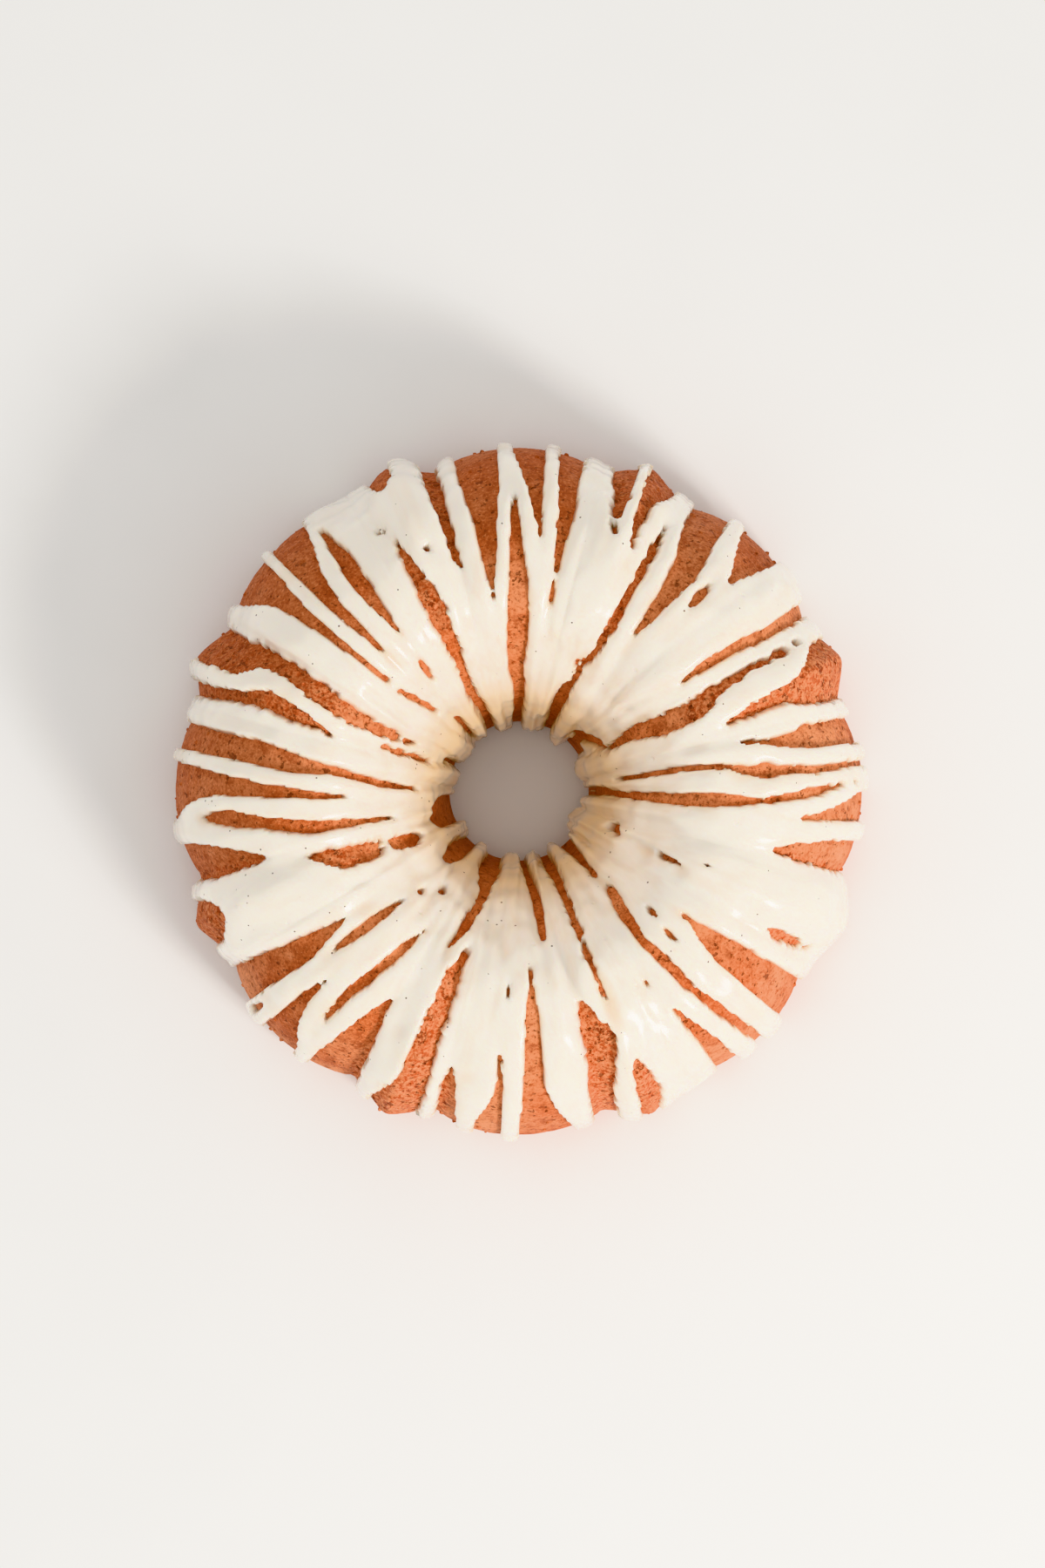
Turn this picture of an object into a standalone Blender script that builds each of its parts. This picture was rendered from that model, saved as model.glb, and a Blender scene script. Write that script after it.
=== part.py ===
"""Fluted ring pound cake with thick icing drizzled over it, as one closed solid.

Metres, +Z up. The flat base lies on z = 0 and the middle of the cake's box is on the Z axis.
"""

import math

import bmesh
import bpy

MM = 0.001

# The ring, measured in the valleys between the flutes
WALL_RADIUS = 118.9 * MM
CROWN_RADIUS = 68.0 * MM
HOLE_RADIUS = 25.0 * MM
MOUTH_RADIUS = 42.0 * MM
RING_HEIGHT = 83.0 * MM
OUTER_FOOT = 4.0 * MM
INNER_FOOT = 2.0 * MM
OUTER_FULLNESS = 2.1
INNER_FULLNESS = 1.7

# The crown's place on the skin, where the hole is at 0 and the outer foot at 1
CROWN_SPLIT = (CROWN_RADIUS - HOLE_RADIUS) / (WALL_RADIUS - HOLE_RADIUS)

# The flutes: eight broad lobes with a narrow pointed ridge between each pair
LOBES = 8
LOBE_HALF = 14.5
RIDGE_HALF = 8.0
LOBE_DEPTH = 5.1 * MM
RIDGE_DEPTH = 6.9 * MM
CROWN_FLUTE = 0.5

# The mesh of the ring
TURN_STEPS = 112
OUTER_ROWS = 9
INNER_ROWS = 6
FOOT_ROWS = 2

# The icing: streams of about the same width, poured from the hole to the foot. Each one is sunk
# into the skin by a share of its own radius
STREAM_RADIUS = 3.9 * MM
STREAM_SINK = 0.25
STREAM_POINTS = 11
CROWN_SWELL = 1.05
HOLE_SWELL = 0.85
DRIP_SWELL = 1.12
END_SWELL = 0.7
DRIP_LENGTH = 3.5 * MM
HOLE_END = 7.0 * MM
CROWN_PLACE = 0.40
SHOULDER_PLACE = 0.72

# One row for each stream: its angle inside the crown, on the shoulder and at the foot, the height
# of its tip in millimetres, and its width at the foot as a share of STREAM_RADIUS
STREAMS = (
    (3.5, 2.0, 3.2, 5, 0.75),
    (10.0, 8.5, 6.6, 6, 0.75),
    (14.5, 15.2, 14.4, 4, 1.0),
    (19.0, 24.3, 27.2, 17, 0.85),
    (31.0, 30.5, 30.2, 13, 0.85),
    (37.0, 37.0, 36.0, 4, 1.1),
    (43.0, 42.5, 39.8, 7, 1.0),
    (50.0, 49.6, 50.8, 5, 0.85),
    (56.5, 57.8, 59.2, 9, 0.8),
    (64.5, 63.5, 61.4, 15, 0.85),
    (68.5, 68.0, 68.5, 4, 0.65),
    (73.0, 72.8, 74.6, 6, 0.85),
    (77.0, 76.6, 77.2, 8, 0.85),
    (81.0, 83.3, 84.3, 3, 0.7),
    (85.0, 87.8, 91.0, 16, 0.75),
    (95.0, 93.3, 92.6, 5, 0.7),
    (100.0, 101.9, 103.0, 4, 0.9),
    (105.0, 108.5, 109.9, 4, 1.1),
    (109.5, 112.7, 114.5, 26, 0.9),
    (119.5, 119.0, 118.0, 7, 1.1),
    (126.0, 123.2, 122.6, 4, 1.2),
    (132.0, 131.3, 127.2, 8, 1.0),
    (138.0, 137.7, 137.0, 4, 0.7),
    (144.0, 143.5, 147.4, 11, 0.7),
    (150.0, 148.0, 149.0, 5, 0.8),
    (159.5, 155.7, 159.2, 4, 0.9),
    (164.5, 164.0, 165.0, 12, 0.8),
    (169.5, 167.2, 166.4, 4, 0.8),
    (178.5, 176.0, 173.8, 4, 0.8),
    (186.0, 183.0, 185.8, 9, 0.75),
    (194.5, 191.0, 187.6, 17, 0.75),
    (206.0, 197.8, 198.0, 10, 1.1),
    (211.0, 203.5, 203.0, 6, 1.2),
    (216.0, 209.5, 208.4, 9, 1.2),
    (219.5, 220.0, 218.8, 5, 0.9),
    (226.0, 223.0, 221.2, 8, 0.8),
    (231.5, 227.0, 230.0, 15, 0.8),
    (238.0, 233.7, 231.6, 11, 0.8),
    (243.0, 242.0, 242.6, 5, 1.0),
    (248.5, 245.3, 245.6, 6, 0.9),
    (256.0, 255.0, 254.0, 4, 0.8),
    (262.0, 261.0, 261.8, 4, 1.2),
    (268.5, 268.5, 268.6, 5, 0.75),
    (277.5, 278.0, 279.3, 5, 0.9),
    (283.0, 282.0, 281.8, 8, 0.9),
    (288.5, 294.0, 289.0, 4, 1.1),
    (297.0, 297.5, 297.6, 6, 1.1),
    (302.0, 302.2, 303.0, 4, 1.2),
    (307.0, 308.3, 311.8, 8, 0.9),
    (316.0, 315.6, 317.1, 4, 1.2),
    (322.0, 328.2, 329.4, 7, 1.1),
    (328.0, 333.8, 334.4, 5, 1.2),
    (334.0, 339.2, 338.8, 3, 1.2),
    (340.0, 344.2, 343.4, 6, 1.1),
    (346.0, 351.0, 353.5, 6, 0.8),
    (352.0, 356.2, 359.2, 4, 0.7),
)

CRUST_COLOUR = (0.46, 0.19, 0.08, 1.0)
ICING_COLOUR = (0.89, 0.84, 0.72, 1.0)


def clear_scene():
    """Empty the file of every object that it opened with."""
    for thing in list(bpy.data.objects):
        bpy.data.objects.remove(thing, do_unlink=True)


def make_material(name, colour, roughness):
    """A plain food surface."""
    material = bpy.data.materials.new(name)
    material.use_nodes = True
    shader = material.node_tree.nodes["Principled BSDF"]
    shader.inputs["Base Color"].default_value = colour
    shader.inputs["Roughness"].default_value = roughness
    shader.inputs["Metallic"].default_value = 0.0
    return material


def make_collection(name):
    """A collection linked to the scene."""
    collection = bpy.data.collections.new(name)
    bpy.context.scene.collection.children.link(collection)
    return collection


def ease(share):
    """A share of the way from 0 to 1 that starts and ends softly."""
    share = min(1.0, max(0.0, share))
    return share * share * (3.0 - 2.0 * share)


def flute(angle):
    """How far the flutes stand out from their valleys at an angle in degrees, on the outer wall."""
    pitch = 360.0 / LOBES
    from_lobe = abs((angle + pitch / 2.0) % pitch - pitch / 2.0)
    from_ridge = pitch / 2.0 - from_lobe
    lobe = max(0.0, 1.0 - (from_lobe / LOBE_HALF) ** 2) ** 0.8
    ridge = max(0.0, 1.0 - from_ridge / RIDGE_HALF) ** 1.2
    return LOBE_DEPTH * lobe + RIDGE_DEPTH * ridge


def quarter(turn, width, height, fullness):
    """A point of a quarter of a superellipse: at turn 0 level with the foot, at 1 on the crown."""
    across = math.cos(turn * math.pi / 2.0) ** (2.0 / fullness)
    up = math.sin(turn * math.pi / 2.0) ** (2.0 / fullness)
    return width * across, height * up


def section(place):
    """Radius and height of the ring's skin, from the hole at place 0 over the crown to the foot at 1."""
    if place < CROWN_SPLIT:
        turn = place / CROWN_SPLIT
        across, up = quarter(turn, CROWN_RADIUS - HOLE_RADIUS, RING_HEIGHT - INNER_FOOT, INNER_FULLNESS)
        return CROWN_RADIUS - across, INNER_FOOT + up
    turn = (1.0 - place) / (1.0 - CROWN_SPLIT)
    across, up = quarter(turn, WALL_RADIUS - CROWN_RADIUS, RING_HEIGHT - OUTER_FOOT, OUTER_FULLNESS)
    return CROWN_RADIUS + across, OUTER_FOOT + up


def place_of(radius, height):
    """The place of a point of the section, the reverse of section()."""
    if radius < CROWN_RADIUS:
        width, foot, fullness = CROWN_RADIUS - HOLE_RADIUS, INNER_FOOT, INNER_FULLNESS
    else:
        width, foot, fullness = WALL_RADIUS - CROWN_RADIUS, OUTER_FOOT, OUTER_FULLNESS
    across = abs(radius - CROWN_RADIUS) / width
    up = max(0.0, height - foot) / (RING_HEIGHT - foot)
    turn = math.atan2(up ** (fullness / 2.0), across ** (fullness / 2.0)) * 2.0 / math.pi
    if radius < CROWN_RADIUS:
        return CROWN_SPLIT * turn
    return 1.0 - (1.0 - CROWN_SPLIT) * turn


def outward(place):
    """The direction that leaves the ring's skin at a place, as its share outwards and its share up."""
    step = 0.004
    r0, z0 = section(max(0.0, place - step))
    r1, z1 = section(min(1.0, place + step))
    length = math.hypot(r1 - r0, z1 - z0)
    return -(z1 - z0) / length, (r1 - r0) / length


def flute_share(radius):
    """The flutes are full on the wall, shallower on the crown and gone at the mouth of the hole."""
    if radius < CROWN_RADIUS:
        return CROWN_FLUTE * ease((radius - MOUTH_RADIUS) / (CROWN_RADIUS - MOUTH_RADIUS))
    rise = (radius - CROWN_RADIUS) / (WALL_RADIUS - CROWN_RADIUS)
    return CROWN_FLUTE + (1.0 - CROWN_FLUTE) * min(1.0, rise)


def skin_point(place, angle, lift=0.0):
    """A point on the fluted skin, or lifted off it."""
    radius, height = section(place)
    out, up = outward(place)
    move = flute(angle) * flute_share(radius) + lift
    radius = radius + out * move
    height = height + up * move
    turn = math.radians(angle)
    return radius * math.cos(turn), radius * math.sin(turn), height


def ring_profile():
    """The ring's section as a closed loop: down the outer wall, across the base, up the hole."""
    points = [section(CROWN_SPLIT + (1.0 - CROWN_SPLIT) * i / OUTER_ROWS) for i in range(OUTER_ROWS + 1)]
    for i in range(1, FOOT_ROWS + 1):
        turn = math.pi / 2.0 * i / FOOT_ROWS
        drop = OUTER_FOOT * math.sin(turn)
        points.append((WALL_RADIUS - OUTER_FOOT * (1.0 - math.cos(turn)), OUTER_FOOT - drop))
    for i in range(FOOT_ROWS, 0, -1):
        turn = math.pi / 2.0 * i / FOOT_ROWS
        drop = INNER_FOOT * math.sin(turn)
        points.append((HOLE_RADIUS + INNER_FOOT * (1.0 - math.cos(turn)), INNER_FOOT - drop))
    points += [section(CROWN_SPLIT * i / INNER_ROWS) for i in range(INNER_ROWS)]
    return points


def turn_ring(collection, material):
    """Turn the section about Z, then press the flutes into the skin."""
    points = ring_profile()
    mesh = bpy.data.meshes.new("ring_profile")
    count = len(points)
    edges = [(i, (i + 1) % count) for i in range(count)]
    mesh.from_pydata([(radius, 0.0, height) for radius, height in points], edges, [])
    turned = bpy.data.objects.new("ring_profile", mesh)
    collection.objects.link(turned)
    screw = turned.modifiers.new("Turn", "SCREW")
    screw.axis = "Z"
    screw.steps = TURN_STEPS
    screw.render_steps = TURN_STEPS
    screw.use_merge_vertices = True
    screw.merge_threshold = 0.00001
    screw.use_smooth_shade = True
    ring = bpy.data.objects.new("cake", mesh_of(turned))
    bpy.data.objects.remove(turned, do_unlink=True)
    collection.objects.link(ring)
    ring.data.materials.append(material)
    press_flutes(ring.data)
    return ring


def mesh_of(thing):
    """An object's mesh with its modifiers applied."""
    graph = bpy.context.evaluated_depsgraph_get()
    return bpy.data.meshes.new_from_object(thing.evaluated_get(graph))


def press_flutes(mesh):
    """Move each vertex of the turned ring along its section's outward direction by the flute's depth."""
    for vertex in mesh.vertices:
        radius = math.hypot(vertex.co.x, vertex.co.y)
        angle = math.degrees(math.atan2(vertex.co.y, vertex.co.x))
        out, up = outward(place_of(radius, vertex.co.z))
        move = flute(angle) * flute_share(radius)
        grow = (radius + out * move) / radius
        vertex.co.x *= grow
        vertex.co.y *= grow
        vertex.co.z += up * move


def place_at_height(height, outer):
    """The place on one side of the ring whose skin is at a height."""
    low, high = (1.0, CROWN_SPLIT) if outer else (0.0, CROWN_SPLIT)
    for _ in range(30):
        middle = (low + high) / 2.0
        if section(middle)[1] < height:
            low = middle
        else:
            high = middle
    return (low + high) / 2.0


def stream_angle(place, crown, shoulder, foot):
    """A stream keeps its crown angle in the hole, then drifts to its shoulder and foot angles."""
    to_shoulder = ease((place - CROWN_PLACE) / (SHOULDER_PLACE - CROWN_PLACE))
    to_foot = ease((place - SHOULDER_PLACE) / (1.0 - SHOULDER_PLACE))
    return crown + (shoulder - crown) * to_shoulder + (foot - shoulder) * to_foot


def stream_width(place, foot_width):
    """A stream is thinner in the hole, swells on the crown and takes its own width at the foot."""
    hole_side = HOLE_SWELL + (CROWN_SWELL - HOLE_SWELL) * ease(place / CROWN_PLACE)
    foot_side = ease((place - SHOULDER_PLACE) / (1.0 - SHOULDER_PLACE))
    return hole_side + (foot_width - hole_side) * foot_side


def stream_points(tip, foot_width):
    """Places and widths along a stream: evenly to the top of its drip, which is a round bulb."""
    start = place_at_height(HOLE_END, False)
    drip = place_at_height(tip * MM + DRIP_LENGTH, True)
    steps = STREAM_POINTS - 2
    places = [start + (drip - start) * i / steps for i in range(steps + 1)]
    widths = [stream_width(place, foot_width) for place in places]
    widths[0] *= END_SWELL
    widths[-1] *= DRIP_SWELL
    return places + [place_at_height(tip * MM, True)], widths + [foot_width * END_SWELL]


def pour_stream(index, row, collection, material):
    """One stream of icing: a round-ended tube that lies half sunk along the skin."""
    crown, shoulder, foot, tip, foot_width = row
    places, widths = stream_points(tip, foot_width)
    curve = bpy.data.curves.new("stream_path", "CURVE")
    curve.dimensions = "3D"
    curve.bevel_depth = STREAM_RADIUS
    curve.bevel_resolution = 1
    curve.use_fill_caps = True
    spline = curve.splines.new("POLY")
    spline.points.add(len(places) - 1)
    for point, place, width in zip(spline.points, places, widths):
        angle = stream_angle(place, crown, shoulder, foot)
        x, y, z = skin_point(place, angle, -STREAM_SINK * STREAM_RADIUS * width)
        point.co = (x, y, z, 1.0)
        point.radius = width
    path = bpy.data.objects.new("stream_path", curve)
    collection.objects.link(path)
    stream = bpy.data.objects.new(f"stream_{index}", mesh_of(path))
    bpy.data.objects.remove(path, do_unlink=True)
    collection.objects.link(stream)
    weld(stream.data)
    stream.data.materials.clear()
    stream.data.materials.append(material)
    return stream


def weld(mesh):
    """Close a tube's loose caps and turn its faces outwards."""
    work = bmesh.new()
    work.from_mesh(mesh)
    bmesh.ops.remove_doubles(work, verts=work.verts, dist=0.00001)
    bmesh.ops.recalc_face_normals(work, faces=work.faces)
    work.to_mesh(mesh)
    work.free()


def fuse(ring, drizzle):
    """Join the streams to the ring with one union, then remove them."""
    union = ring.modifiers.new("Drizzle", "BOOLEAN")
    union.operation = "UNION"
    union.operand_type = "COLLECTION"
    union.collection = drizzle
    union.solver = "EXACT"
    union.material_mode = "TRANSFER"
    joined = mesh_of(ring)
    ring.modifiers.clear()
    ring.data = joined
    for stream in list(drizzle.objects):
        bpy.data.objects.remove(stream, do_unlink=True)
    bpy.data.collections.remove(drizzle)


def islands(work):
    """The connected groups of faces of a bmesh."""
    left = set(work.faces)
    groups = []
    while left:
        group = set()
        waiting = [left.pop()]
        while waiting:
            face = waiting.pop()
            group.add(face)
            for edge in face.edges:
                for other in edge.link_faces:
                    if other in left:
                        left.discard(other)
                        waiting.append(other)
        groups.append(group)
    return groups


def keep_outer_skin(mesh):
    """Fill the hollows that the union sealed and drop loose scraps: only the largest skin stays."""
    work = bmesh.new()
    work.from_mesh(mesh)
    bmesh.ops.remove_doubles(work, verts=work.verts, dist=0.00001)
    bmesh.ops.triangulate(work, faces=work.faces)
    groups = sorted(islands(work), key=len)
    for group in groups[:-1]:
        bmesh.ops.delete(work, geom=list(group), context="FACES")
    loose = [vertex for vertex in work.verts if not vertex.link_faces]
    bmesh.ops.delete(work, geom=loose, context="VERTS")
    work.to_mesh(mesh)
    work.free()
    return len(groups) - 1


def centre(mesh):
    """Bring the middle of the cake's box over the origin, with the base on z = 0."""
    lows = [min(vertex.co[axis] for vertex in mesh.vertices) for axis in range(3)]
    highs = [max(vertex.co[axis] for vertex in mesh.vertices) for axis in range(3)]
    for vertex in mesh.vertices:
        vertex.co.x -= (lows[0] + highs[0]) / 2.0
        vertex.co.y -= (lows[1] + highs[1]) / 2.0
        vertex.co.z -= lows[2]
    return lows, highs


def shade(mesh):
    """Smooth the round skin and keep the sharp line of the base."""
    mesh.shade_smooth()
    mesh.set_sharp_from_angle(angle=math.radians(50.0))


def main():
    clear_scene()
    parts = make_collection("ring_pound_cake")
    drizzle = make_collection("drizzle_strokes")
    crust = make_material("crust", CRUST_COLOUR, 0.6)
    icing = make_material("icing", ICING_COLOUR, 0.35)
    ring = turn_ring(parts, crust)
    for index, row in enumerate(STREAMS):
        pour_stream(index, row, drizzle, icing)
    fuse(ring, drizzle)
    dropped = keep_outer_skin(ring.data)
    lows, highs = centre(ring.data)
    shade(ring.data)
    print("triangles", len(ring.data.polygons), "hollows and scraps dropped", dropped)
    print("box before centring, mm", [round(value / MM, 2) for value in lows + highs])


main()
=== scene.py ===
# %% [markdown]
# # A fluted ring pound cake under thick icing
#
# This lesson dresses a plain solid of a ring cake. The solid comes from a frame file and fixes the
# size and the place. Two new surfaces take over from it: the browned crust, and the ivory icing
# that was poured over it in streams. A third, small piece is the loose crumbs on the crust.

import math

import bpy
import numpy as np
from mathutils import Matrix, Vector
from mathutils.kdtree import KDTree


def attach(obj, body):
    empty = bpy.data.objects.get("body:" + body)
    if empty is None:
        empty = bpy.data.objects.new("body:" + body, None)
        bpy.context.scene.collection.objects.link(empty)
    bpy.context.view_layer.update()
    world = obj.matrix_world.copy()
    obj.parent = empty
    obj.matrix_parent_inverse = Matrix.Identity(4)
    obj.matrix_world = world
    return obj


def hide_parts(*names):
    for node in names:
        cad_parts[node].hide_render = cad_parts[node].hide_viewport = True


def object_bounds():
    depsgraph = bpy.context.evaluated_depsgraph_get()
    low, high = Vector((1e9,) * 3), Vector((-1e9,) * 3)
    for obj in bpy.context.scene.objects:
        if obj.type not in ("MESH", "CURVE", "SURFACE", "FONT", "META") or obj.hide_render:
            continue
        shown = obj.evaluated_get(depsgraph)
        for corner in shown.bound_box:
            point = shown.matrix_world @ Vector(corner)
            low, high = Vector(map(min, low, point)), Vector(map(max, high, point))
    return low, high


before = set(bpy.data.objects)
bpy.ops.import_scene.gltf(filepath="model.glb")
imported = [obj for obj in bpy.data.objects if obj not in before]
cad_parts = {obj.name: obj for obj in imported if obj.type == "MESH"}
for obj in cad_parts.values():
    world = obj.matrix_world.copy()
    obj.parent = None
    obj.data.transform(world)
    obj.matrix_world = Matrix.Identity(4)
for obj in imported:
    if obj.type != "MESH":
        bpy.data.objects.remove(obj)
CAD_BOX = [list(corner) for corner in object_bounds()]
print("box of the solid, m:", CAD_BOX)

# %% [markdown]
# ## The ring's sizes
#
# The ring is a turned shape with flutes pressed into it. Its section is two quarters of a
# superellipse that meet on the crown: a full one for the outer wall and a flatter one that funnels
# into the hole. These are the sizes that the solid was made from, with the ridges a little deeper,
# because the crust is roughened inwards.

# %% Sizes of the ring
MM = 0.001
WALL_RADIUS = 118.9 * MM
CROWN_RADIUS = 68.0 * MM
HOLE_RADIUS = 25.0 * MM
MOUTH_RADIUS = 42.0 * MM
RING_HEIGHT = 83.0 * MM
OUTER_FOOT = 4.0 * MM
INNER_FOOT = 2.0 * MM
OUTER_FULLNESS = 2.1
INNER_FULLNESS = 1.7
LOBES = 8
LOBE_HALF = 14.5
RIDGE_HALF = 8.0
LOBE_DEPTH = 5.1 * MM
RIDGE_DEPTH = 8.1 * MM
RIDGE_BLUNT = 1.0
CROWN_FLUTE = 0.5
FLOOR_GAP = 0.05 * MM


# %% The section of the ring
SECTION_SAMPLES = 400


def quarter(turn, width, height, fullness):
    """Points of a quarter superellipse: at turn 0 level with the foot, at 1 on the crown."""
    across = np.abs(np.cos(turn * math.pi / 2.0)) ** (2.0 / fullness)
    up = np.abs(np.sin(turn * math.pi / 2.0)) ** (2.0 / fullness)
    return width * across, height * up


def section(samples):
    """Radius and height along the skin, from the hole over the crown to the foot."""
    turn = np.linspace(0.0, 1.0, samples)
    across, up = quarter(turn, CROWN_RADIUS - HOLE_RADIUS, RING_HEIGHT - INNER_FOOT, INNER_FULLNESS)
    inner = np.stack([CROWN_RADIUS - across, INNER_FOOT + up], axis=1)
    wall = WALL_RADIUS - CROWN_RADIUS
    across, up = quarter(turn[::-1], wall, RING_HEIGHT - OUTER_FOOT, OUTER_FULLNESS)
    outer = np.stack([CROWN_RADIUS + across, OUTER_FOOT + up], axis=1)
    return np.concatenate([inner, outer[1:]])


def spaced(points, count):
    """The same line with points at equal distances along it."""
    steps = np.linalg.norm(np.diff(points, axis=0), axis=1)
    along = np.concatenate([[0.0], np.cumsum(steps)])
    wanted = np.linspace(0.0, along[-1], count)
    return np.stack([np.interp(wanted, along, points[:, i]) for i in range(2)], axis=1)


def arc(centre, radius, start, end, count):
    """Points on a part of a circle, angles in degrees."""
    turn = np.radians(np.linspace(start, end, count))
    return np.stack([centre[0] + radius * np.cos(turn), centre[1] + radius * np.sin(turn)], axis=1)


def closed_section(skin_count, base_count):
    """The whole section as a loop: the skin, the rounded foot, the flat base and back to the hole."""
    skin = spaced(section(SECTION_SAMPLES), skin_count)
    outer = arc((WALL_RADIUS - OUTER_FOOT, OUTER_FOOT), OUTER_FOOT, 0.0, -90.0, 5)[1:]
    inner = arc((HOLE_RADIUS + INNER_FOOT, INNER_FOOT), INNER_FOOT, 270.0, 180.0, 4)[:-1]
    base = np.linspace(outer[-1], inner[0], base_count)[1:-1]
    return np.concatenate([skin, outer, base, inner])


def ring_axis():
    """Where the ring's axis stands, because the streams of icing set the middle of the box.

    The rim of the hole on the base is a plain circle, so the middle of its box is on the axis.
    """
    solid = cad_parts["cake"]
    spots = [solid.matrix_world @ vertex.co for vertex in solid.data.vertices]
    rim = [spot for spot in spots if spot.z < FLOOR_GAP and math.hypot(spot.x, spot.y) < CROWN_RADIUS]
    x = (min(spot.x for spot in rim) + max(spot.x for spot in rim)) / 2.0
    y = (min(spot.y for spot in rim) + max(spot.y for spot in rim)) / 2.0
    return x, y


RING_AXIS = ring_axis()
print("the ring's axis, mm:", [round(value / MM, 3) for value in RING_AXIS])
SKIN_LENGTH = np.linalg.norm(np.diff(section(SECTION_SAMPLES), axis=0), axis=1).sum()
print("the skin is", round(SKIN_LENGTH / MM, 1), "mm long from the hole to the foot")

# %% [markdown]
# ## Node maths that reads like maths
#
# Both the Geometry Nodes and the materials below need sums on sockets. A small class wraps a
# socket, so that `1 - mask` or `depth * share` adds the Math nodes by itself.


# %% A socket that can be used in sums
class Wire:
    """A node tree's output socket, with the usual operators."""

    def __init__(self, tree, socket):
        self.tree = tree
        self.socket = socket

    def math(self, operation, *others):
        """One Math node on this socket and other sockets or numbers."""
        values = dict(enumerate((self, *others)))
        return add(self.tree, "ShaderNodeMath", {"operation": operation}, values)

    def __add__(self, other):
        return self.math("ADD", other)

    def __sub__(self, other):
        return self.math("SUBTRACT", other)

    def __mul__(self, other):
        return self.math("MULTIPLY", other)

    def __truediv__(self, other):
        return self.math("DIVIDE", other)

    def __pow__(self, other):
        return self.math("POWER", other)

    def __rsub__(self, other):
        return (self * -1.0) + other

    __radd__ = __add__
    __rmul__ = __mul__

    def between(self, low, high):
        """Smoothly 0 below low and 1 above high."""
        values = {"Value": self, "From Min": low, "From Max": high}
        return add(self.tree, "ShaderNodeMapRange", {"interpolation_type": "SMOOTHSTEP"}, values)


def feed(tree, node, values):
    """Set or link some of a node's sockets."""
    for name, value in values.items():
        if isinstance(value, Wire):
            tree.links.new(value.socket, node.inputs[name])
        else:
            node.inputs[name].default_value = value


def add(tree, kind, settings, values, output=0):
    """Any node: its settings first, then the values or links of its sockets."""
    node = tree.nodes.new(kind)
    for name, value in settings.items():
        setattr(node, name, value)
    feed(tree, node, values)
    return Wire(tree, node.outputs[output])


# %% Nodes that come up again and again
def parts_of(tree, vector):
    """The three numbers of a vector socket."""
    return [add(tree, "ShaderNodeSeparateXYZ", {}, {0: vector}, i) for i in range(3)]


def here(tree):
    """The position of the point that a Geometry Nodes tree works on."""
    return add(tree, "GeometryNodeInputPosition", {}, {})


def from_axis(x, y):
    """Distance from the ring's axis."""
    return (x * x + y * y).math("SQRT")


def noise(tree, place, scale, detail=2.0, roughness=0.5):
    """A noise texture's number, around a half."""
    values = {"Vector": place, "Scale": scale, "Detail": detail, "Roughness": roughness}
    return add(tree, "ShaderNodeTexNoise", {}, values)


def cells(tree, place, scale):
    """Distance to the middle of the nearest random cell."""
    return add(tree, "ShaderNodeTexVoronoi", {}, {"Vector": place, "Scale": scale})


def push(tree, mesh, direction, amount):
    """Move each point of a mesh along a direction by an amount."""
    offset = add(tree, "ShaderNodeVectorMath", {"operation": "SCALE"}, {0: direction, "Scale": amount})
    return add(tree, "GeometryNodeSetPosition", {}, {"Geometry": mesh, "Offset": offset})


def finish_tree(tree, mesh, given, end):
    """Shade the tree's mesh smooth, make it real and give it its material."""
    mesh = add(tree, "GeometryNodeSetShadeSmooth", {}, {0: mesh, "Shade Smooth": True})
    mesh = add(tree, "GeometryNodeRealizeInstances", {}, {"Geometry": mesh})
    mesh = add(tree, "GeometryNodeSetMaterial", {}, {"Geometry": mesh, "Material": given["Material"]})
    tree.links.new(mesh.socket, end.inputs["Geometry"])


# %% [markdown]
# ## The fluted ring as Geometry Nodes
#
# The real shape comes from a fluted tin: one section, turned about the middle, with eight broad
# lobes and a narrow pointed ridge between each pair. It could be carved by hand or cut with
# Booleans, but it follows a rule, so a node tree makes it. A grid has one row for each point of
# the section and one column for each step round the ring. The first step turns the grid into the
# ring, the second presses the flutes along the surface's own direction, and the last one roughens
# it as a baked crust. The icing uses the same tree with the roughness at zero.

# %% Build the tree
RING_SIZES = {
    "Columns": 600,
    "Close": True,
    "Lobe Half": LOBE_HALF,
    "Ridge Half": RIDGE_HALF,
    "Ridge Blunt": RIDGE_BLUNT,
    "Lobe Depth": LOBE_DEPTH,
    "Ridge Depth": RIDGE_DEPTH,
    "Crown Share": CROWN_FLUTE,
    "Mouth Radius": MOUTH_RADIUS,
    "Crown Radius": CROWN_RADIUS,
    "Wall Radius": WALL_RADIUS,
    "Foot Height": OUTER_FOOT,
    "Unevenness": 0.0,
    "Grain": 0.0,
    "Pits": 0.0,
    "Seed": 3.0,
    "Material": None,
}
SOCKET_KINDS = {
    int: "NodeSocketInt",
    bool: "NodeSocketBool",
    float: "NodeSocketFloat",
    type(None): "NodeSocketMaterial",
}
WELD = 0.01 * MM


def new_tree(name, sizes):
    """A Geometry Nodes tree with named inputs, its group input and its group output."""
    tree = bpy.data.node_groups.new(name, "GeometryNodeTree")
    tree.interface.new_socket("Geometry", in_out="INPUT", socket_type="NodeSocketGeometry")
    for label, value in sizes.items():
        kind = SOCKET_KINDS[type(value)]
        socket = tree.interface.new_socket(label, in_out="INPUT", socket_type=kind)
        if value is not None:
            socket.default_value = value
    tree.interface.new_socket("Geometry", in_out="OUTPUT", socket_type="NodeSocketGeometry")
    start = tree.nodes.new("NodeGroupInput")
    given = {socket.name: Wire(tree, socket) for socket in start.outputs if socket.name}
    return tree, given, tree.nodes.new("NodeGroupOutput")


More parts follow.
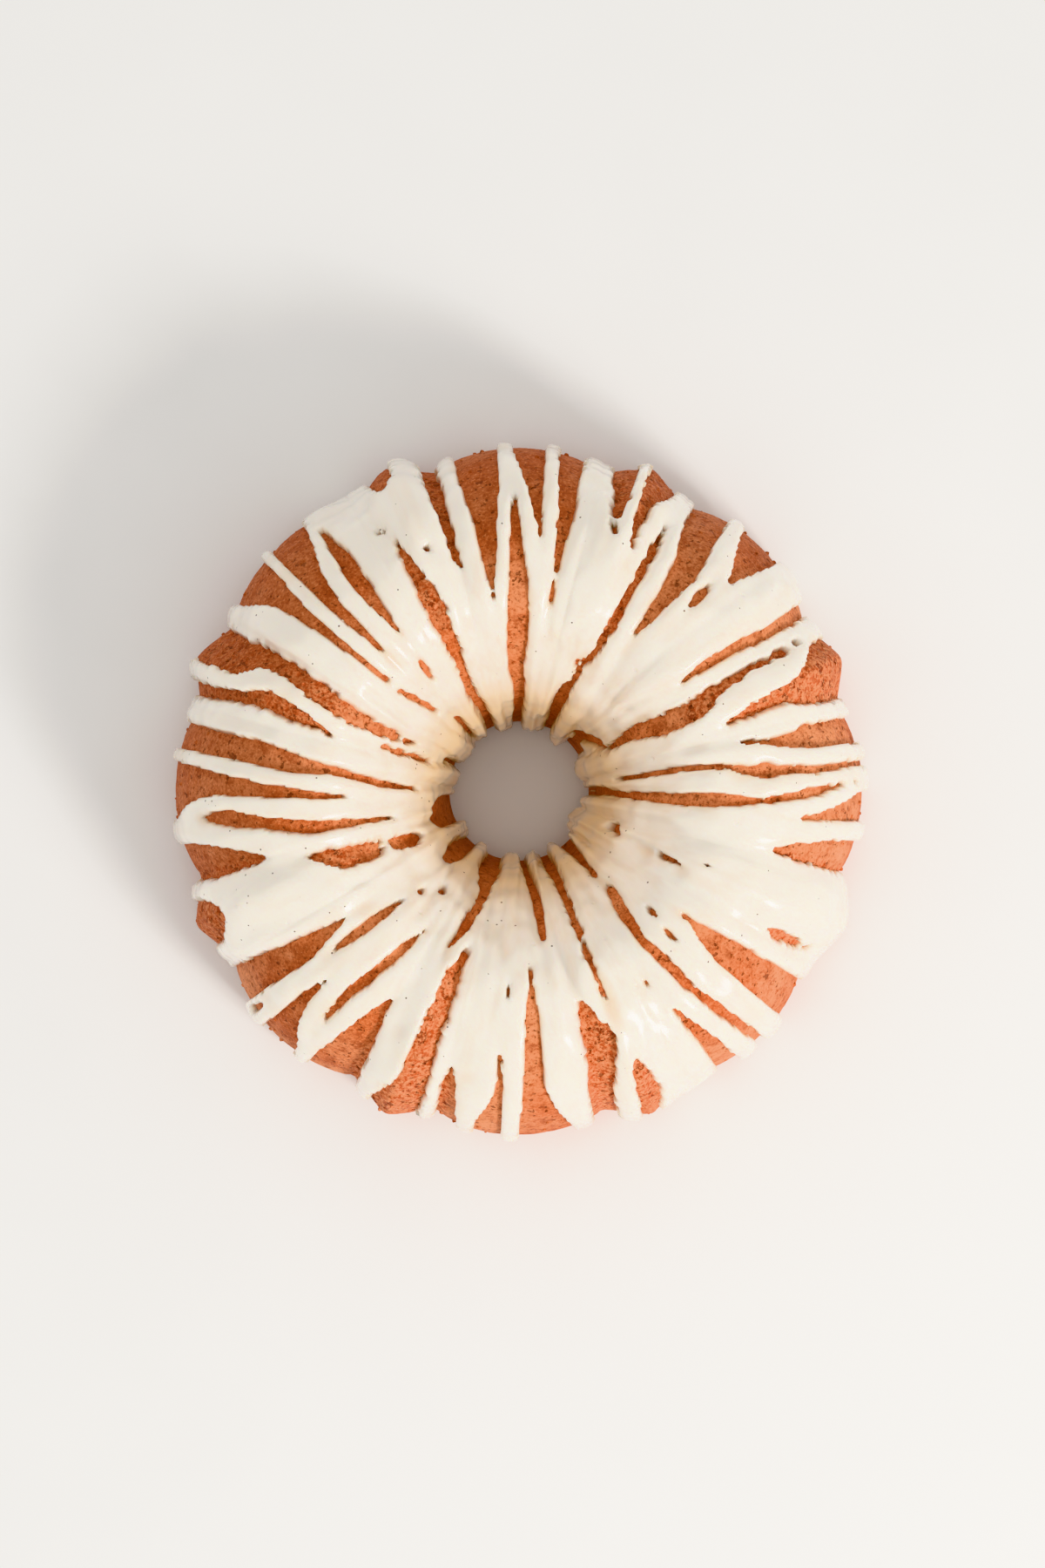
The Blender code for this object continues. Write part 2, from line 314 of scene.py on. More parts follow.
def turned_grid(tree, given):
    """A grid bent into the turned ring: the row picks a point of the section, the column an angle."""
    size = add(tree, "GeometryNodeAttributeDomainSize", {"component": "MESH"}, {0: given["Geometry"]})
    values = {"Size X": 1.0, "Size Y": 1.0, "Vertices X": given["Columns"] + 1, "Vertices Y": size + 1}
    grid = add(tree, "GeometryNodeMeshGrid", {}, values)
    index = add(tree, "GeometryNodeInputIndex", {}, {})
    row = index.math("MODULO", size + 1).math("MODULO", size)
    column = (index / (size + 1)).math("FLOOR")
    point = add(
        tree,
        "GeometryNodeSampleIndex",
        {"data_type": "FLOAT_VECTOR", "domain": "POINT"},
        {0: given["Geometry"], "Value": here(tree), "Index": row},
    )
    radius, _, height = parts_of(tree, point)
    angle = column / given["Columns"] * (2.0 * math.pi)
    x = radius * angle.math("COSINE")
    y = radius * angle.math("SINE")
    place = add(tree, "ShaderNodeCombineXYZ", {}, {"X": x, "Y": y, "Z": height})
    bent = add(tree, "GeometryNodeSetPosition", {}, {"Geometry": grid, "Position": place})
    welded = add(tree, "GeometryNodeMergeByDistance", {}, {"Geometry": bent, "Distance": WELD})
    values = {"Switch": given["Close"], "False": bent, "True": welded}
    return add(tree, "GeometryNodeSwitch", {"input_type": "GEOMETRY"}, values)


def beyond_lobe(tree, x, y):
    """Degrees from the middle of the nearest lobe: the ridges begin at LOBE_HALF."""
    angle = y.math("ARCTAN2", x) * (180.0 / math.pi)
    return angle.math("WRAP", 180.0 / LOBES, -180.0 / LOBES).math("ABSOLUTE")


def flute_depth(tree, given, x, y):
    """How far the flutes stand out at this angle."""
    from_lobe = beyond_lobe(tree, x, y)
    from_ridge = 180.0 / LOBES - from_lobe
    from_ridge = (from_ridge * from_ridge + given["Ridge Blunt"] * given["Ridge Blunt"]).math("SQRT")
    lobe = (1.0 - (from_lobe / given["Lobe Half"]) ** 2.0).math("MAXIMUM", 0.0) ** 0.8
    ridge = (1.0 - from_ridge / given["Ridge Half"]).math("MAXIMUM", 0.0) ** 1.2
    return given["Lobe Depth"] * lobe + given["Ridge Depth"] * ridge


def flute_share(given, radius):
    """Full on the wall, shallower on the crown and gone at the mouth of the hole."""
    inside = radius.between(given["Mouth Radius"], given["Crown Radius"]) * given["Crown Share"]
    outside = (radius - given["Crown Radius"]) / (given["Wall Radius"] - given["Crown Radius"])
    outside = outside.math("MAXIMUM", 0.0).math("MINIMUM", 1.0)
    return inside + (1.0 - given["Crown Share"]) * outside


def press_flutes(tree, given, ring):
    """Move the skin along its normal; the foot and the base move straight outwards."""
    x, y, z = parts_of(tree, here(tree))
    radius = from_axis(x, y)
    share = flute_depth(tree, given, x, y) * flute_share(given, radius)
    nx, ny, nz = parts_of(tree, add(tree, "GeometryNodeInputNormal", {}, {}))
    skin = z.math("GREATER_THAN", given["Foot Height"] + WELD)
    outwards = radius.math("GREATER_THAN", given["Crown Radius"])
    plain_x = x / radius * outwards
    plain_y = y / radius * outwards
    move_x = (nx * skin + plain_x * (1.0 - skin)) * share
    move_y = (ny * skin + plain_y * (1.0 - skin)) * share
    move_z = nz * skin * share
    offset = add(tree, "ShaderNodeCombineXYZ", {}, {"X": move_x, "Y": move_y, "Z": move_z})
    return add(tree, "GeometryNodeSetPosition", {}, {"Geometry": ring, "Offset": offset})


def texture_place(tree, given):
    """The position, shifted by the seed so that another seed gives another pattern."""
    shift = add(tree, "ShaderNodeCombineXYZ", {}, {axis: given["Seed"] for axis in "XYZ"})
    return add(tree, "ShaderNodeVectorMath", {"operation": "ADD"}, {0: here(tree), 1: shift})


def roughen(tree, given, ring):
    """Press unevenness, grain and pits into the crust, all of them inwards and most on the ridges."""
    place = texture_place(tree, given)
    x, y, z = parts_of(tree, here(tree))
    ridge = beyond_lobe(tree, x, y).between(LOBE_HALF - 3.0, LOBE_HALF + 1.5)
    broad = noise(tree, place, 42.0)
    fine = noise(tree, place, 300.0, 3.0, 0.65)
    torn = noise(tree, place, 130.0, 3.0, 0.6)
    where = noise(tree, place, 75.0, 1.0)
    pits = (1.0 - cells(tree, place, 240.0).between(0.1, 0.5)) * where.between(0.44, 0.6)
    press = broad * given["Unevenness"] + (1.0 - fine) * given["Grain"]
    press = press + pits * given["Pits"] * (0.4 + ridge * 0.6)
    press = press + torn.between(0.45, 0.68) * given["Grain"] * (0.4 + ridge * 1.2)
    press = press * z.between(0.2 * MM, 3.0 * MM) * -1.0
    return push(tree, ring, add(tree, "GeometryNodeInputNormal", {}, {}), press)


def fluted_ring_tree():
    """Section in, fluted ring out."""
    tree, given, end = new_tree("fluted_ring", RING_SIZES)
    ring = turned_grid(tree, given)
    ring = add(tree, "GeometryNodeFlipFaces", {}, {"Mesh": ring})
    ring = press_flutes(tree, given, ring)
    finish_tree(tree, roughen(tree, given, ring), given, end)
    return tree


RING_TREE = fluted_ring_tree()
print("the ring's tree has", len(RING_TREE.nodes), "nodes")


# %% Run a tree on a mesh and keep the result
def new_object(name, data):
    """An object that is in the scene."""
    made = bpy.data.objects.new(name, data)
    bpy.context.collection.objects.link(made)
    return made


def grow(name, mesh, tree, **sizes):
    """The plain mesh that a tree makes from another mesh, with some of its inputs changed."""
    holder = new_object(name, mesh)
    modifier = holder.modifiers.new("Grow", "NODES")
    modifier.node_group = tree
    for socket in tree.interface.items_tree:
        label = socket.name.replace(" ", "_").lower()
        if label in sizes:
            modifier[socket.identifier] = sizes[label]
    graph = bpy.context.evaluated_depsgraph_get()
    grown = bpy.data.meshes.new_from_object(holder.evaluated_get(graph))
    grown.name = name
    bpy.data.objects.remove(holder, do_unlink=True)
    return grown


def point_mesh(name, points):
    """A mesh of loose points."""
    mesh = bpy.data.meshes.new(name)
    mesh.from_pydata([tuple(point) for point in points], [], [])
    return mesh


def section_mesh(points):
    """The section as loose points in the XZ plane."""
    return point_mesh("section", [(radius, 0.0, height) for radius, height in points])


def positions(mesh):
    """The vertices of a mesh as an array."""
    flat = np.empty(len(mesh.vertices) * 3, dtype=np.float32)
    mesh.vertices.foreach_get("co", flat)
    return flat.reshape(-1, 3).astype(np.float64)


def search_tree(points):
    """A tree that finds the nearest of some points."""
    tree = KDTree(len(points))
    for i, point in enumerate(points):
        tree.insert(point, i)
    tree.balance()
    return tree


# %% [markdown]
# ## Where the crust shows through
#
# The icing was poured in streams that ran together on the crown and parted lower down. It is
# easiest to say where the crust shows: each gap is a sliver that runs from the hole or the crown
# down to the foot. A row of the list gives the distance from the ring's middle as the camera sees
# it, and the two angles between which the crust shows there, anticlockwise from the right. The
# distance is in pixels of the photograph, which has SEEN_SCALE pixels to a millimetre at the foot.
# A gap that ends at FOOT_SEEN runs on to the foot.

# %% The gaps in the icing
SEEN_SCALE = 3.135
CAMERA_HEIGHT = 796.0 * MM
FOOT_SEEN = 420

GAPS = {
    "g005": ((118, 6.8, 7.2), (140, 6.6, 7.9), (190, 7.2, 8.8), (240, 6.3, 7.7), (268, 4.0, 6.2),
             (285, 2.7, 7.0), (302, 3.9, 5.7), (345, 3.6, 5.0), (387, 4.2, 5.4), (420, 4.2, 5.4)),
    "g011": ((256, 12.8, 13.2), (285, 10.8, 12.1), (310, 9.7, 11.9), (335, 8.5, 13.2), (420, 8.0, 12.5)),
    "g019": ((250, 17.7, 18.3), (280, 17.7, 20.5), (320, 18.3, 21.5), (340, 17.0, 22.0),
             (360, 16.5, 24.0), (375, 16.0, 27.0), (420, 16.0, 27.0)),
    "g026": ((112, 24.6, 25.6), (140, 24.0, 30.0), (160, 22.5, 29.5), (180, 21.0, 28.5),
             (220, 21.3, 28.3), (240, 23.5, 28.5), (260, 26.0, 28.7), (300, 27.4, 28.6),
             (340, 27.0, 28.8), (364, 27.9, 28.1)),
    "rim038": ((90, 42.0, 50.0), (98, 33.0, 50.0), (106, 27.0, 40.0), (114, 24.8, 29.0)),
    "rim035": ((70, 30.0, 47.0), (84, 30.0, 47.0), (91, 34.0, 44.0)),
    "rim001": ((70, 0.2, 3.0), (98, 0.2, 3.0), (106, 1.2, 2.0)),
    "g033": ((225, 33.3, 33.7), (240, 33.3, 34.9), (260, 32.8, 35.3), (300, 32.4, 34.6),
             (340, 31.5, 33.6), (365, 31.2, 33.9), (420, 31.6, 33.6)),
    "g047": ((284, 46.9, 47.3), (294, 46.2, 48.1), (312, 46.2, 48.3), (322, 46.9, 47.3)),
    "g045": ((337, 44.5, 44.9), (355, 43.6, 46.2), (375, 42.4, 48.0), (393, 41.5, 49.3), (420, 41.5, 49.3)),
    "g054": ((222, 53.8, 54.2), (240, 52.0, 54.5), (280, 51.3, 55.0), (320, 50.2, 56.0),
             (360, 51.7, 58.3), (420, 52.5, 58.5)),
    "g062": ((66, 62.0, 70.0), (128, 62.0, 69.0), (137, 62.9, 65.6), (165, 61.5, 64.0), (180, 60.0, 62.4),
             (230, 59.5, 62.5), (260, 60.0, 61.9), (320, 60.0, 61.8), (347, 61.1, 61.5)),
    "g065": ((153, 65.5, 65.9), (162, 64.9, 66.6), (172, 65.5, 65.9)),
    "g066": ((308, 65.0, 65.4), (340, 65.2, 67.1), (362, 65.0, 67.3), (380, 62.2, 67.6), (420, 62.0, 67.8)),
    "g070": ((312, 69.3, 69.7), (340, 69.7, 71.4), (385, 69.5, 73.8), (420, 69.5, 73.8)),
    "g080": ((217, 80.2, 80.6), (229, 79.5, 81.3), (241, 80.0, 80.8), (250, 79.6, 80.8),
             (280, 79.4, 81.3), (320, 78.5, 81.8), (360, 79.0, 82.7), (420, 78.2, 83.2)),
    "g087": ((293, 84.8, 85.2), (310, 85.0, 86.3), (340, 85.4, 87.8), (392, 85.5, 91.0), (420, 85.5, 91.0)),
    "g090": ((66, 88.0, 96.0), (80, 88.0, 96.0), (100, 87.5, 93.0), (120, 86.3, 92.8), (140, 88.0, 95.0),
             (160, 86.8, 94.6), (200, 86.5, 93.7), (240, 87.5, 92.7), (280, 89.0, 92.0),
             (320, 90.0, 91.6), (348, 90.8, 91.2)),
    "g098": ((222, 97.2, 97.6), (240, 96.6, 98.0), (280, 95.2, 99.2), (320, 94.4, 99.8),
             (360, 93.6, 100.9), (420, 93.8, 101.5)),
    "g106": ((260, 104.2, 104.6), (280, 104.3, 105.9), (320, 104.2, 106.6), (420, 104.6, 107.8)),
    "g115": ((66, 110.0, 118.0), (80, 110.0, 118.0), (100, 110.5, 116.0), (120, 112.8, 118.0),
             (140, 113.6, 117.0), (160, 112.5, 116.0), (180, 111.8, 117.0), (240, 111.8, 117.2),
             (280, 114.2, 117.0), (318, 115.9, 116.4)),
    "g114": ((376, 113.9, 114.6), (388, 112.0, 116.5), (420, 112.0, 116.5)),
    "rim130": ((82, 129.2, 130.0), (92, 128.0, 131.5), (106, 128.0, 131.5), (114, 129.4, 130.0)),
    "g127": ((225, 126.2, 126.7), (260, 126.1, 128.3), (280, 125.7, 128.8), (310, 125.3, 129.0),
             (340, 125.5, 128.3), (375, 127.0, 127.5)),
    "g134": ((223, 133.7, 134.2), (240, 133.2, 135.0), (300, 133.5, 136.0), (340, 131.8, 136.0),
             (385, 129.0, 136.0), (420, 129.0, 136.0)),
    "g138": ((132, 135.2, 136.8), (145, 135.4, 138.2), (168, 137.6, 140.1), (182, 139.6, 140.6)),
    "slit127": ((162, 126.8, 128.4), (176, 125.8, 128.6), (191, 126.2, 127.6)),
    "speck111": ((293, 110.6, 111.4), (298, 110.1, 111.9), (304, 110.6, 111.4)),
    "speck118": ((329, 117.3, 118.1), (334, 116.9, 118.5), (339, 117.3, 118.1)),
    "speck226": ((156, 225.0, 226.4), (161, 224.0, 227.2), (166, 224.8, 226.4)),
    "speck233": ((139, 231.8, 233.4), (145, 230.8, 234.4), (150, 231.8, 233.4)),
    "g140": ((195, 139.5, 139.9), (220, 139.3, 140.7), (300, 139.4, 141.7), (340, 139.0, 142.3),
             (360, 138.4, 143.5), (385, 138.0, 146.5), (420, 138.0, 146.5)),
    "rim157": ((70, 154.5, 159.5), (90, 154.5, 159.5), (99, 156.5, 157.6)),
    "g162": ((110, 159.5, 164.0), (138, 160.7, 163.0), (167, 161.5, 161.9)),
    "g155": ((133, 155.4, 155.9), (160, 154.0, 158.3), (200, 153.0, 158.0), (240, 151.5, 156.8),
             (280, 150.6, 154.5), (320, 150.3, 153.5), (340, 150.3, 156.0), (355, 150.8, 157.8),
             (420, 150.2, 157.8)),
    "g161": ((222, 162.4, 162.9), (240, 161.0, 162.8), (280, 158.5, 163.0), (300, 157.9, 162.0),
             (340, 160.0, 162.3), (360, 161.0, 163.0), (420, 160.5, 164.3)),
    "g173": ((120, 178.1, 178.6), (127, 177.0, 179.5), (160, 175.0, 178.0), (200, 172.7, 175.4),
             (220, 172.0, 174.5), (260, 170.4, 175.4), (300, 168.8, 174.0), (360, 168.5, 173.0),
             (420, 167.5, 172.5)),
    "g180": ((198, 181.4, 181.9), (220, 180.4, 182.2), (260, 179.2, 181.5), (320, 177.3, 180.8),
             (350, 176.3, 180.7), (368, 175.7, 181.2), (378, 175.4, 182.0), (386, 175.2, 183.4),
             (391, 175.0, 184.8), (420, 175.0, 185.2)),
    "rim195": ((70, 182.0, 207.0), (96, 183.5, 207.0), (107, 193.0, 202.0)),
    "g188": ((148, 191.1, 191.6), (180, 189.7, 191.8), (240, 188.0, 191.6), (300, 185.4, 188.1),
             (335, 183.5, 187.0), (365, 184.7, 185.2)),
    "g202": ((122, 203.8, 204.6), (131, 200.5, 208.0), (150, 200.0, 206.5), (158, 199.5, 205.0),
             (162, 200.0, 204.4)),
    "g201": ((170, 199.0, 204.6), (174, 198.6, 205.0), (180, 198.5, 205.5), (220, 197.0, 203.5),
             (235, 196.6, 201.0), (254, 196.2, 196.8)),
    "g193": ((293, 194.7, 195.2), (320, 192.2, 195.5), (360, 189.8, 196.0), (420, 187.8, 195.0)),
    "g203": ((365, 202.4, 203.0), (377, 199.0, 207.0), (420, 198.0, 207.5)),
    "rim223": ((70, 224.5, 231.0), (90, 217.0, 231.0), (105, 217.5, 230.0), (117, 222.0, 226.0)),
    "g215": ((243, 216.0, 216.5), (260, 215.5, 217.3), (300, 213.8, 218.8), (360, 212.0, 218.0),
             (420, 210.8, 217.4)),
    "g219": ((376, 219.2, 219.7), (385, 218.7, 220.4), (396, 219.2, 219.8)),
    "g222": ((181, 223.2, 223.8), (190, 221.7, 223.8), (220, 220.2, 223.2), (260, 220.0, 221.8),
             (279, 220.4, 220.8)),
    "g224": ((303, 224.1, 224.6), (340, 223.0, 225.0), (360, 222.8, 225.7), (388, 222.5, 229.2),
             (420, 222.5, 229.2)),
    "g232": ((190, 235.9, 236.5), (220, 232.5, 235.0), (260, 230.5, 233.0), (300, 228.8, 231.2),
             (353, 229.1, 229.6)),
    "g237": ((278, 237.9, 238.4), (300, 236.2, 239.2), (340, 233.8, 240.2), (385, 232.0, 241.0),
             (420, 232.0, 241.0)),
    "g249": ((66, 242.5, 256.5), (100, 242.5, 256.5), (110, 244.0, 255.0), (120, 248.0, 253.5),
             (140, 249.0, 252.5), (155, 246.5, 251.0), (180, 246.0, 249.0), (194, 245.0, 245.6)),
    "g250": ((192, 251.9, 252.4), (200, 251.0, 252.6), (220, 248.0, 252.7), (300, 247.5, 252.3),
             (360, 247.0, 252.8), (390, 243.7, 252.5), (420, 243.7, 252.5)),
    "g257": ((323, 256.2, 256.8), (340, 255.4, 257.6), (390, 255.2, 259.3), (420, 255.2, 259.3)),
    "g265": ((301, 265.7, 266.2), (340, 265.5, 267.0), (360, 264.7, 266.9), (380, 262.5, 267.0),
             (420, 261.5, 267.0)),
    "g267": ((220, 266.8, 267.3), (229, 266.3, 267.8), (239, 266.8, 267.3)),
    "g278": ((66, 269.0, 274.0), (80, 270.0, 275.0), (100, 274.0, 278.5), (120, 276.5, 281.5),
             (140, 277.5, 281.5), (176, 278.6, 280.2)),
    "g273": ((201, 273.5, 274.0), (220, 273.1, 274.6), (260, 271.8, 275.2), (340, 271.0, 275.0),
             (370, 270.5, 277.0), (390, 270.0, 279.5), (420, 270.0, 279.5)),
    "g286": ((249, 286.0, 286.5), (260, 285.3, 288.4), (280, 284.8, 289.6), (300, 284.6, 292.3),
             (320, 284.2, 290.3), (360, 283.0, 287.5), (420, 282.7, 286.7)),
    "g292": ((66, 287.0, 294.0), (90, 287.0, 296.0), (100, 289.5, 297.0), (120, 291.7, 296.0),
             (160, 291.8, 294.3), (220, 291.7, 293.7), (258, 292.8, 293.2)),
    "g294": ((335, 293.2, 293.7), (350, 292.0, 295.0), (380, 291.3, 295.8), (400, 290.8, 294.0),
             (420, 290.8, 294.0)),
    "g312": ((66, 303.5, 320.0), (80, 305.0, 318.0), (92, 308.5, 316.0), (110, 310.5, 314.2),
             (134, 312.1, 312.7)),
    "g311": ((147, 312.8, 313.4), (152, 310.8, 315.2), (180, 309.0, 313.0), (220, 308.3, 311.0),
             (260, 309.5, 312.2), (300, 310.4, 312.1), (340, 311.7, 313.7), (391, 313.4, 314.8),
             (420, 313.4, 314.8)),
    "g307": ((292, 305.2, 305.7), (320, 305.3, 306.6), (360, 305.8, 308.7), (420, 305.4, 310.0)),
    "g316": ((225, 316.4, 316.9), (240, 315.9, 317.4), (254, 316.3, 316.9)),
    "g323": ((232, 323.1, 323.6), (250, 322.3, 324.0), (280, 320.0, 324.7), (310, 319.4, 325.5),
             (420, 319.5, 326.7)),
    "g331": ((320, 330.9, 331.5), (335, 330.3, 332.2), (350, 330.4, 332.3), (378, 331.1, 331.9)),
    "speck338": ((115, 337.5, 342.5), (124, 336.0, 342.0), (132, 335.5, 338.5)),
    "speck335": ((178, 335.3, 336.1), (186, 334.7, 336.8), (196, 334.9, 336.7), (204, 335.4, 336.0)),
    "speck339": ((227, 338.2, 339.2), (233, 337.8, 339.6), (239, 338.2, 339.0)),
    "speck318": ((201, 317.2, 318.8), (207, 316.9, 319.1), (213, 317.3, 318.5)),
    "speck304": ((258, 303.1, 304.1), (263, 302.8, 304.4), (268, 303.2, 304.0)),
    "g348": ((293, 346.7, 347.3), (320, 346.2, 349.3), (360, 345.8, 351.0), (420, 345.5, 352.0)),
    "g356": ((323, 354.2, 354.8), (350, 354.6, 356.3), (370, 354.8, 357.7), (390, 355.0, 360.0),
             (420, 355.0, 360.0)),
    "g358": ((66, 356.0, 360.4), (80, 356.0, 360.4), (100, 357.8, 360.4), (120, 356.5, 359.9),
             (160, 355.2, 359.6), (220, 355.2, 359.6), (240, 356.0, 359.3), (280, 357.1, 358.4),
             (300, 357.6, 359.3), (340, 359.2, 361.0), (386, 361.6, 362.2)),
}
print("gaps in the icing:", len(GAPS))

# %% [markdown]
# ## The skin under the icing
#
# The icing needs a smooth copy of the ring to lie on, in rows and columns. The ring's tree makes
# it with no roughness. Thick icing bridges the narrow grooves and rounds the sharp ridges, so a
# blurred copy of the ring gives the directions in which it rises, and says how much deeper it lies
# in a groove.


# %% Blurs on the rows and columns
def blur(values, sigma, axis, wrap):
    """A Gaussian blur along one axis, in cells."""
    reach = max(1, int(math.ceil(3.0 * sigma)))
    total = np.zeros_like(values)
    weight = 0.0
    for step in range(-reach, reach + 1):
        share = math.exp(-0.5 * (step / sigma) ** 2)
        if wrap:
            moved = np.roll(values, step, axis=axis)
        else:
            index = np.clip(np.arange(values.shape[axis]) + step, 0, values.shape[axis] - 1)
            moved = np.take(values, index, axis=axis)
        total += share * moved
        weight += share
    return total / weight


def smooth(values, across, down):
    """A blur round the ring and one down the skin."""
    return blur(blur(values, across, 0, True), down, 1, False)


# %% A smooth ring in rows and columns
COLUMNS = 608
SKIN_ROWS = 142
BASE_POINTS = 12
FOOT_ROWS = 3
GROOVE_BLUR = 3.4


def smooth_skin():
    """The ring's skin in columns round the ring and rows from hole to foot, and a blurred copy of it."""
    points = closed_section(SKIN_ROWS, BASE_POINTS)
    mesh = grow("icing_guide", section_mesh(points), RING_TREE, columns=COLUMNS, close=False)
    skin = positions(mesh).reshape(COLUMNS + 1, len(points) + 1, 3)[:COLUMNS, : SKIN_ROWS + FOOT_ROWS]
    bpy.data.meshes.remove(mesh)
    guide = smooth(skin, GROOVE_BLUR, 1.0)
    shrunk = np.hypot(guide[..., 0], guide[..., 1]).mean(0)
    guide[..., :2] *= (np.hypot(skin[..., 0], skin[..., 1]).mean(0) / shrunk)[:, None]
    return skin, guide


def directions(guide):
    """The outward direction in each cell."""
    round_step = np.roll(guide, -1, axis=0) - np.roll(guide, 1, axis=0)
    down_step = np.gradient(guide, axis=1)
    normal = np.cross(down_step, round_step)
    return normal / np.linalg.norm(normal, axis=2, keepdims=True)


SKIN, GUIDE = smooth_skin()
NORMAL = directions(GUIDE)
SKIN_ANGLE = np.degrees(np.arctan2(SKIN[:, 5, 1], SKIN[:, 5, 0])) % 360.0
SKIN_RADIUS = np.hypot(SKIN[..., 0], SKIN[..., 1])
HEIGHT = SKIN[..., 2] / MM
ROWS = SKIN.shape[1]
DEGREE = np.radians(1.0) * SKIN_RADIUS / MM
SEEN = SEEN_SCALE * SKIN_RADIUS / MM * CAMERA_HEIGHT / (CAMERA_HEIGHT - SKIN[..., 2])
print("rows:", ROWS, "columns:", COLUMNS, "seen distance:", round(SEEN.min(), 1), "to", round(SEEN.max(), 1))


# %% Smooth noise
def ripple(points, wavelength, seed, waves=28):
    """Smooth noise of about one wavelength, from -1 to 1, as a sum of plane waves."""
    draw = np.random.default_rng(seed)
    direction = draw.normal(size=(waves, 3))
    direction /= np.linalg.norm(direction, axis=1, keepdims=True)
    phase = draw.uniform(0.0, 2.0 * math.pi, waves)
    length = wavelength * draw.uniform(0.7, 1.4, waves)
    total = np.zeros(points.shape[:-1])
    for i in range(waves):
        total += np.cos(points @ direction[i] * (2.0 * math.pi / length[i]) + phase[i])
    return np.clip(total / math.sqrt(waves * 1.5), -1.0, 1.0)


def circle_round(radius):
    """A point on a circle for each column, to lay noise along one direction only."""
    turn = np.radians(SKIN_ANGLE)
    return np.stack([np.cos(turn), np.sin(turn), np.zeros_like(turn)], axis=1) * radius


def stretched(radius, along):
    """The same circle for every row, with a third number that says how far along the flow it is."""
    points = np.repeat(circle_round(radius)[:, None], ROWS, axis=1)
    points[..., 2] = along
    return points


# %% [markdown]
# ## The outline of the icing
#
# Each cell of the skin gets one number: how far inside the icing it lies, in millimetres, and less
# than zero where the crust shows. The gaps cut it from the sides. At the foot every stream ends in
# its own round drip, and in the hole the icing ends just above the base. Torn crust frays the edge,
# and a gap that would be thinner than the grid can show is kept open.

# %% Signed distance to the gaps
PLENTY = 8.0
SIDE_ROUND = 9
TIP_HEIGHTS = (2.0, 9.0)
TIP_ROUND = 5.0
LAST_ROWS = 12
END_WAVE = 2.2
HOLE_END = 4.8
SLIT_HALF = 0.8
SLIT_EXTRA = 0.45
SPECK_LENGTH = 22
TORN_RIDGE = 1.25
TORN_LOBE = 0.4
OUTLINE_BLUR = (0.8, 0.6)
SPREAD = 0.1


def angle_from(angle, middle):
    """The angle nearest to the middle that means the same direction."""
    return (angle - middle + 180.0) % 360.0 - 180.0 + middle


def beside(angle):
    """Millimetres from each cell to a line that runs down the skin at this angle."""
    return (angle_from(SKIN_ANGLE, angle) - angle)[:, None] * DEGREE


def smooth_side(seen, angle):
    """One side of a gap at every pixel of its length, with its corners rounded off."""
    along = np.arange(seen[0], seen[-1] + 1.0)
    side = np.interp(along, seen, angle)
    reach = min(SIDE_ROUND, (len(along) - 1) // 2)
    ends = np.full(reach, side[0]), side, np.full(reach, side[-1])
    window = np.hanning(2 * reach + 3)[1:-1]
    return along, np.convolve(np.concatenate(ends), window / window.sum(), "valid")


def inside_gap(rows):
    """How far each cell lies inside one gap, in millimetres, and less than zero outside it."""
    seen, low, high = (np.array(column, dtype=float) for column in zip(*rows))
    angle = angle_from(SKIN_ANGLE, (low.mean() + high.mean()) / 2.0)[:, None]
    low_side = (angle - np.interp(SEEN, *smooth_side(seen, low))) * DEGREE
    high_side = (np.interp(SEEN, *smooth_side(seen, high)) - angle) * DEGREE
    before = (SEEN - seen[0]) / SEEN_SCALE
    after = (seen[-1] - SEEN) / SEEN_SCALE
    most = SLIT_EXTRA if seen[-1] - seen[0] > SPECK_LENGTH else 0.0
    extra = np.clip(SLIT_HALF - (low_side + high_side) / 2.0, 0.0, most)
    return np.minimum(np.minimum(low_side, high_side) + extra, np.minimum(before, after))


def icing_depth_inside():
    """How far each cell lies inside the icing, as the gaps alone leave it."""
    inside = np.full(SEEN.shape, PLENTY)
    for rows in GAPS.values():
        inside = np.minimum(inside, -inside_gap(rows))
    return inside


def streams():
    """The number of the stream that each column lies in, from one gap at the foot to the next."""
    foot = [(rows[-1][1], rows[-1][2]) for rows in GAPS.values() if rows[-1][0] == FOOT_SEEN]
    ends = sorted(low % 360.0 for low, high in foot)
    return np.searchsorted(ends, SKIN_ANGLE) % len(ends)


def foot_heights():
    """The height at which the icing ends in each column: one for each stream, and waves in wide ones."""
    stream = streams()
    height = np.random.default_rng(11).uniform(*TIP_HEIGHTS, stream.max() + 1)
    return height[stream] + END_WAVE * ripple(circle_round(WALL_RADIUS), 9.0 * MM, 5)


def tip_rounding(inside):
    """How much sooner a stream ends towards its sides, so that its tip is round."""
    stream = streams()
    half = np.array([inside[stream == i, -LAST_ROWS:].max(initial=1.0) for i in range(stream.max() + 1)])
    radius = np.minimum(half, TIP_ROUND)[stream][:, None]
    corner = radius - np.clip(inside, 0.0, radius)
    return radius - np.sqrt(np.maximum(0.0, radius**2 - corner**2))


def raggedness():
    """Torn crust frays the icing's edge, most on the ridges."""
    ridge = np.abs((SKIN_ANGLE + 180.0 / LOBES) % (360.0 / LOBES) - 180.0 / LOBES) > LOBE_HALF - 1.5
    share = np.where(ridge, TORN_RIDGE, TORN_LOBE)[:, None]
    return share * (0.36 * ripple(SKIN, 3.0 * MM, 22) + 0.24 * ripple(SKIN, 5.0 * MM, 23))


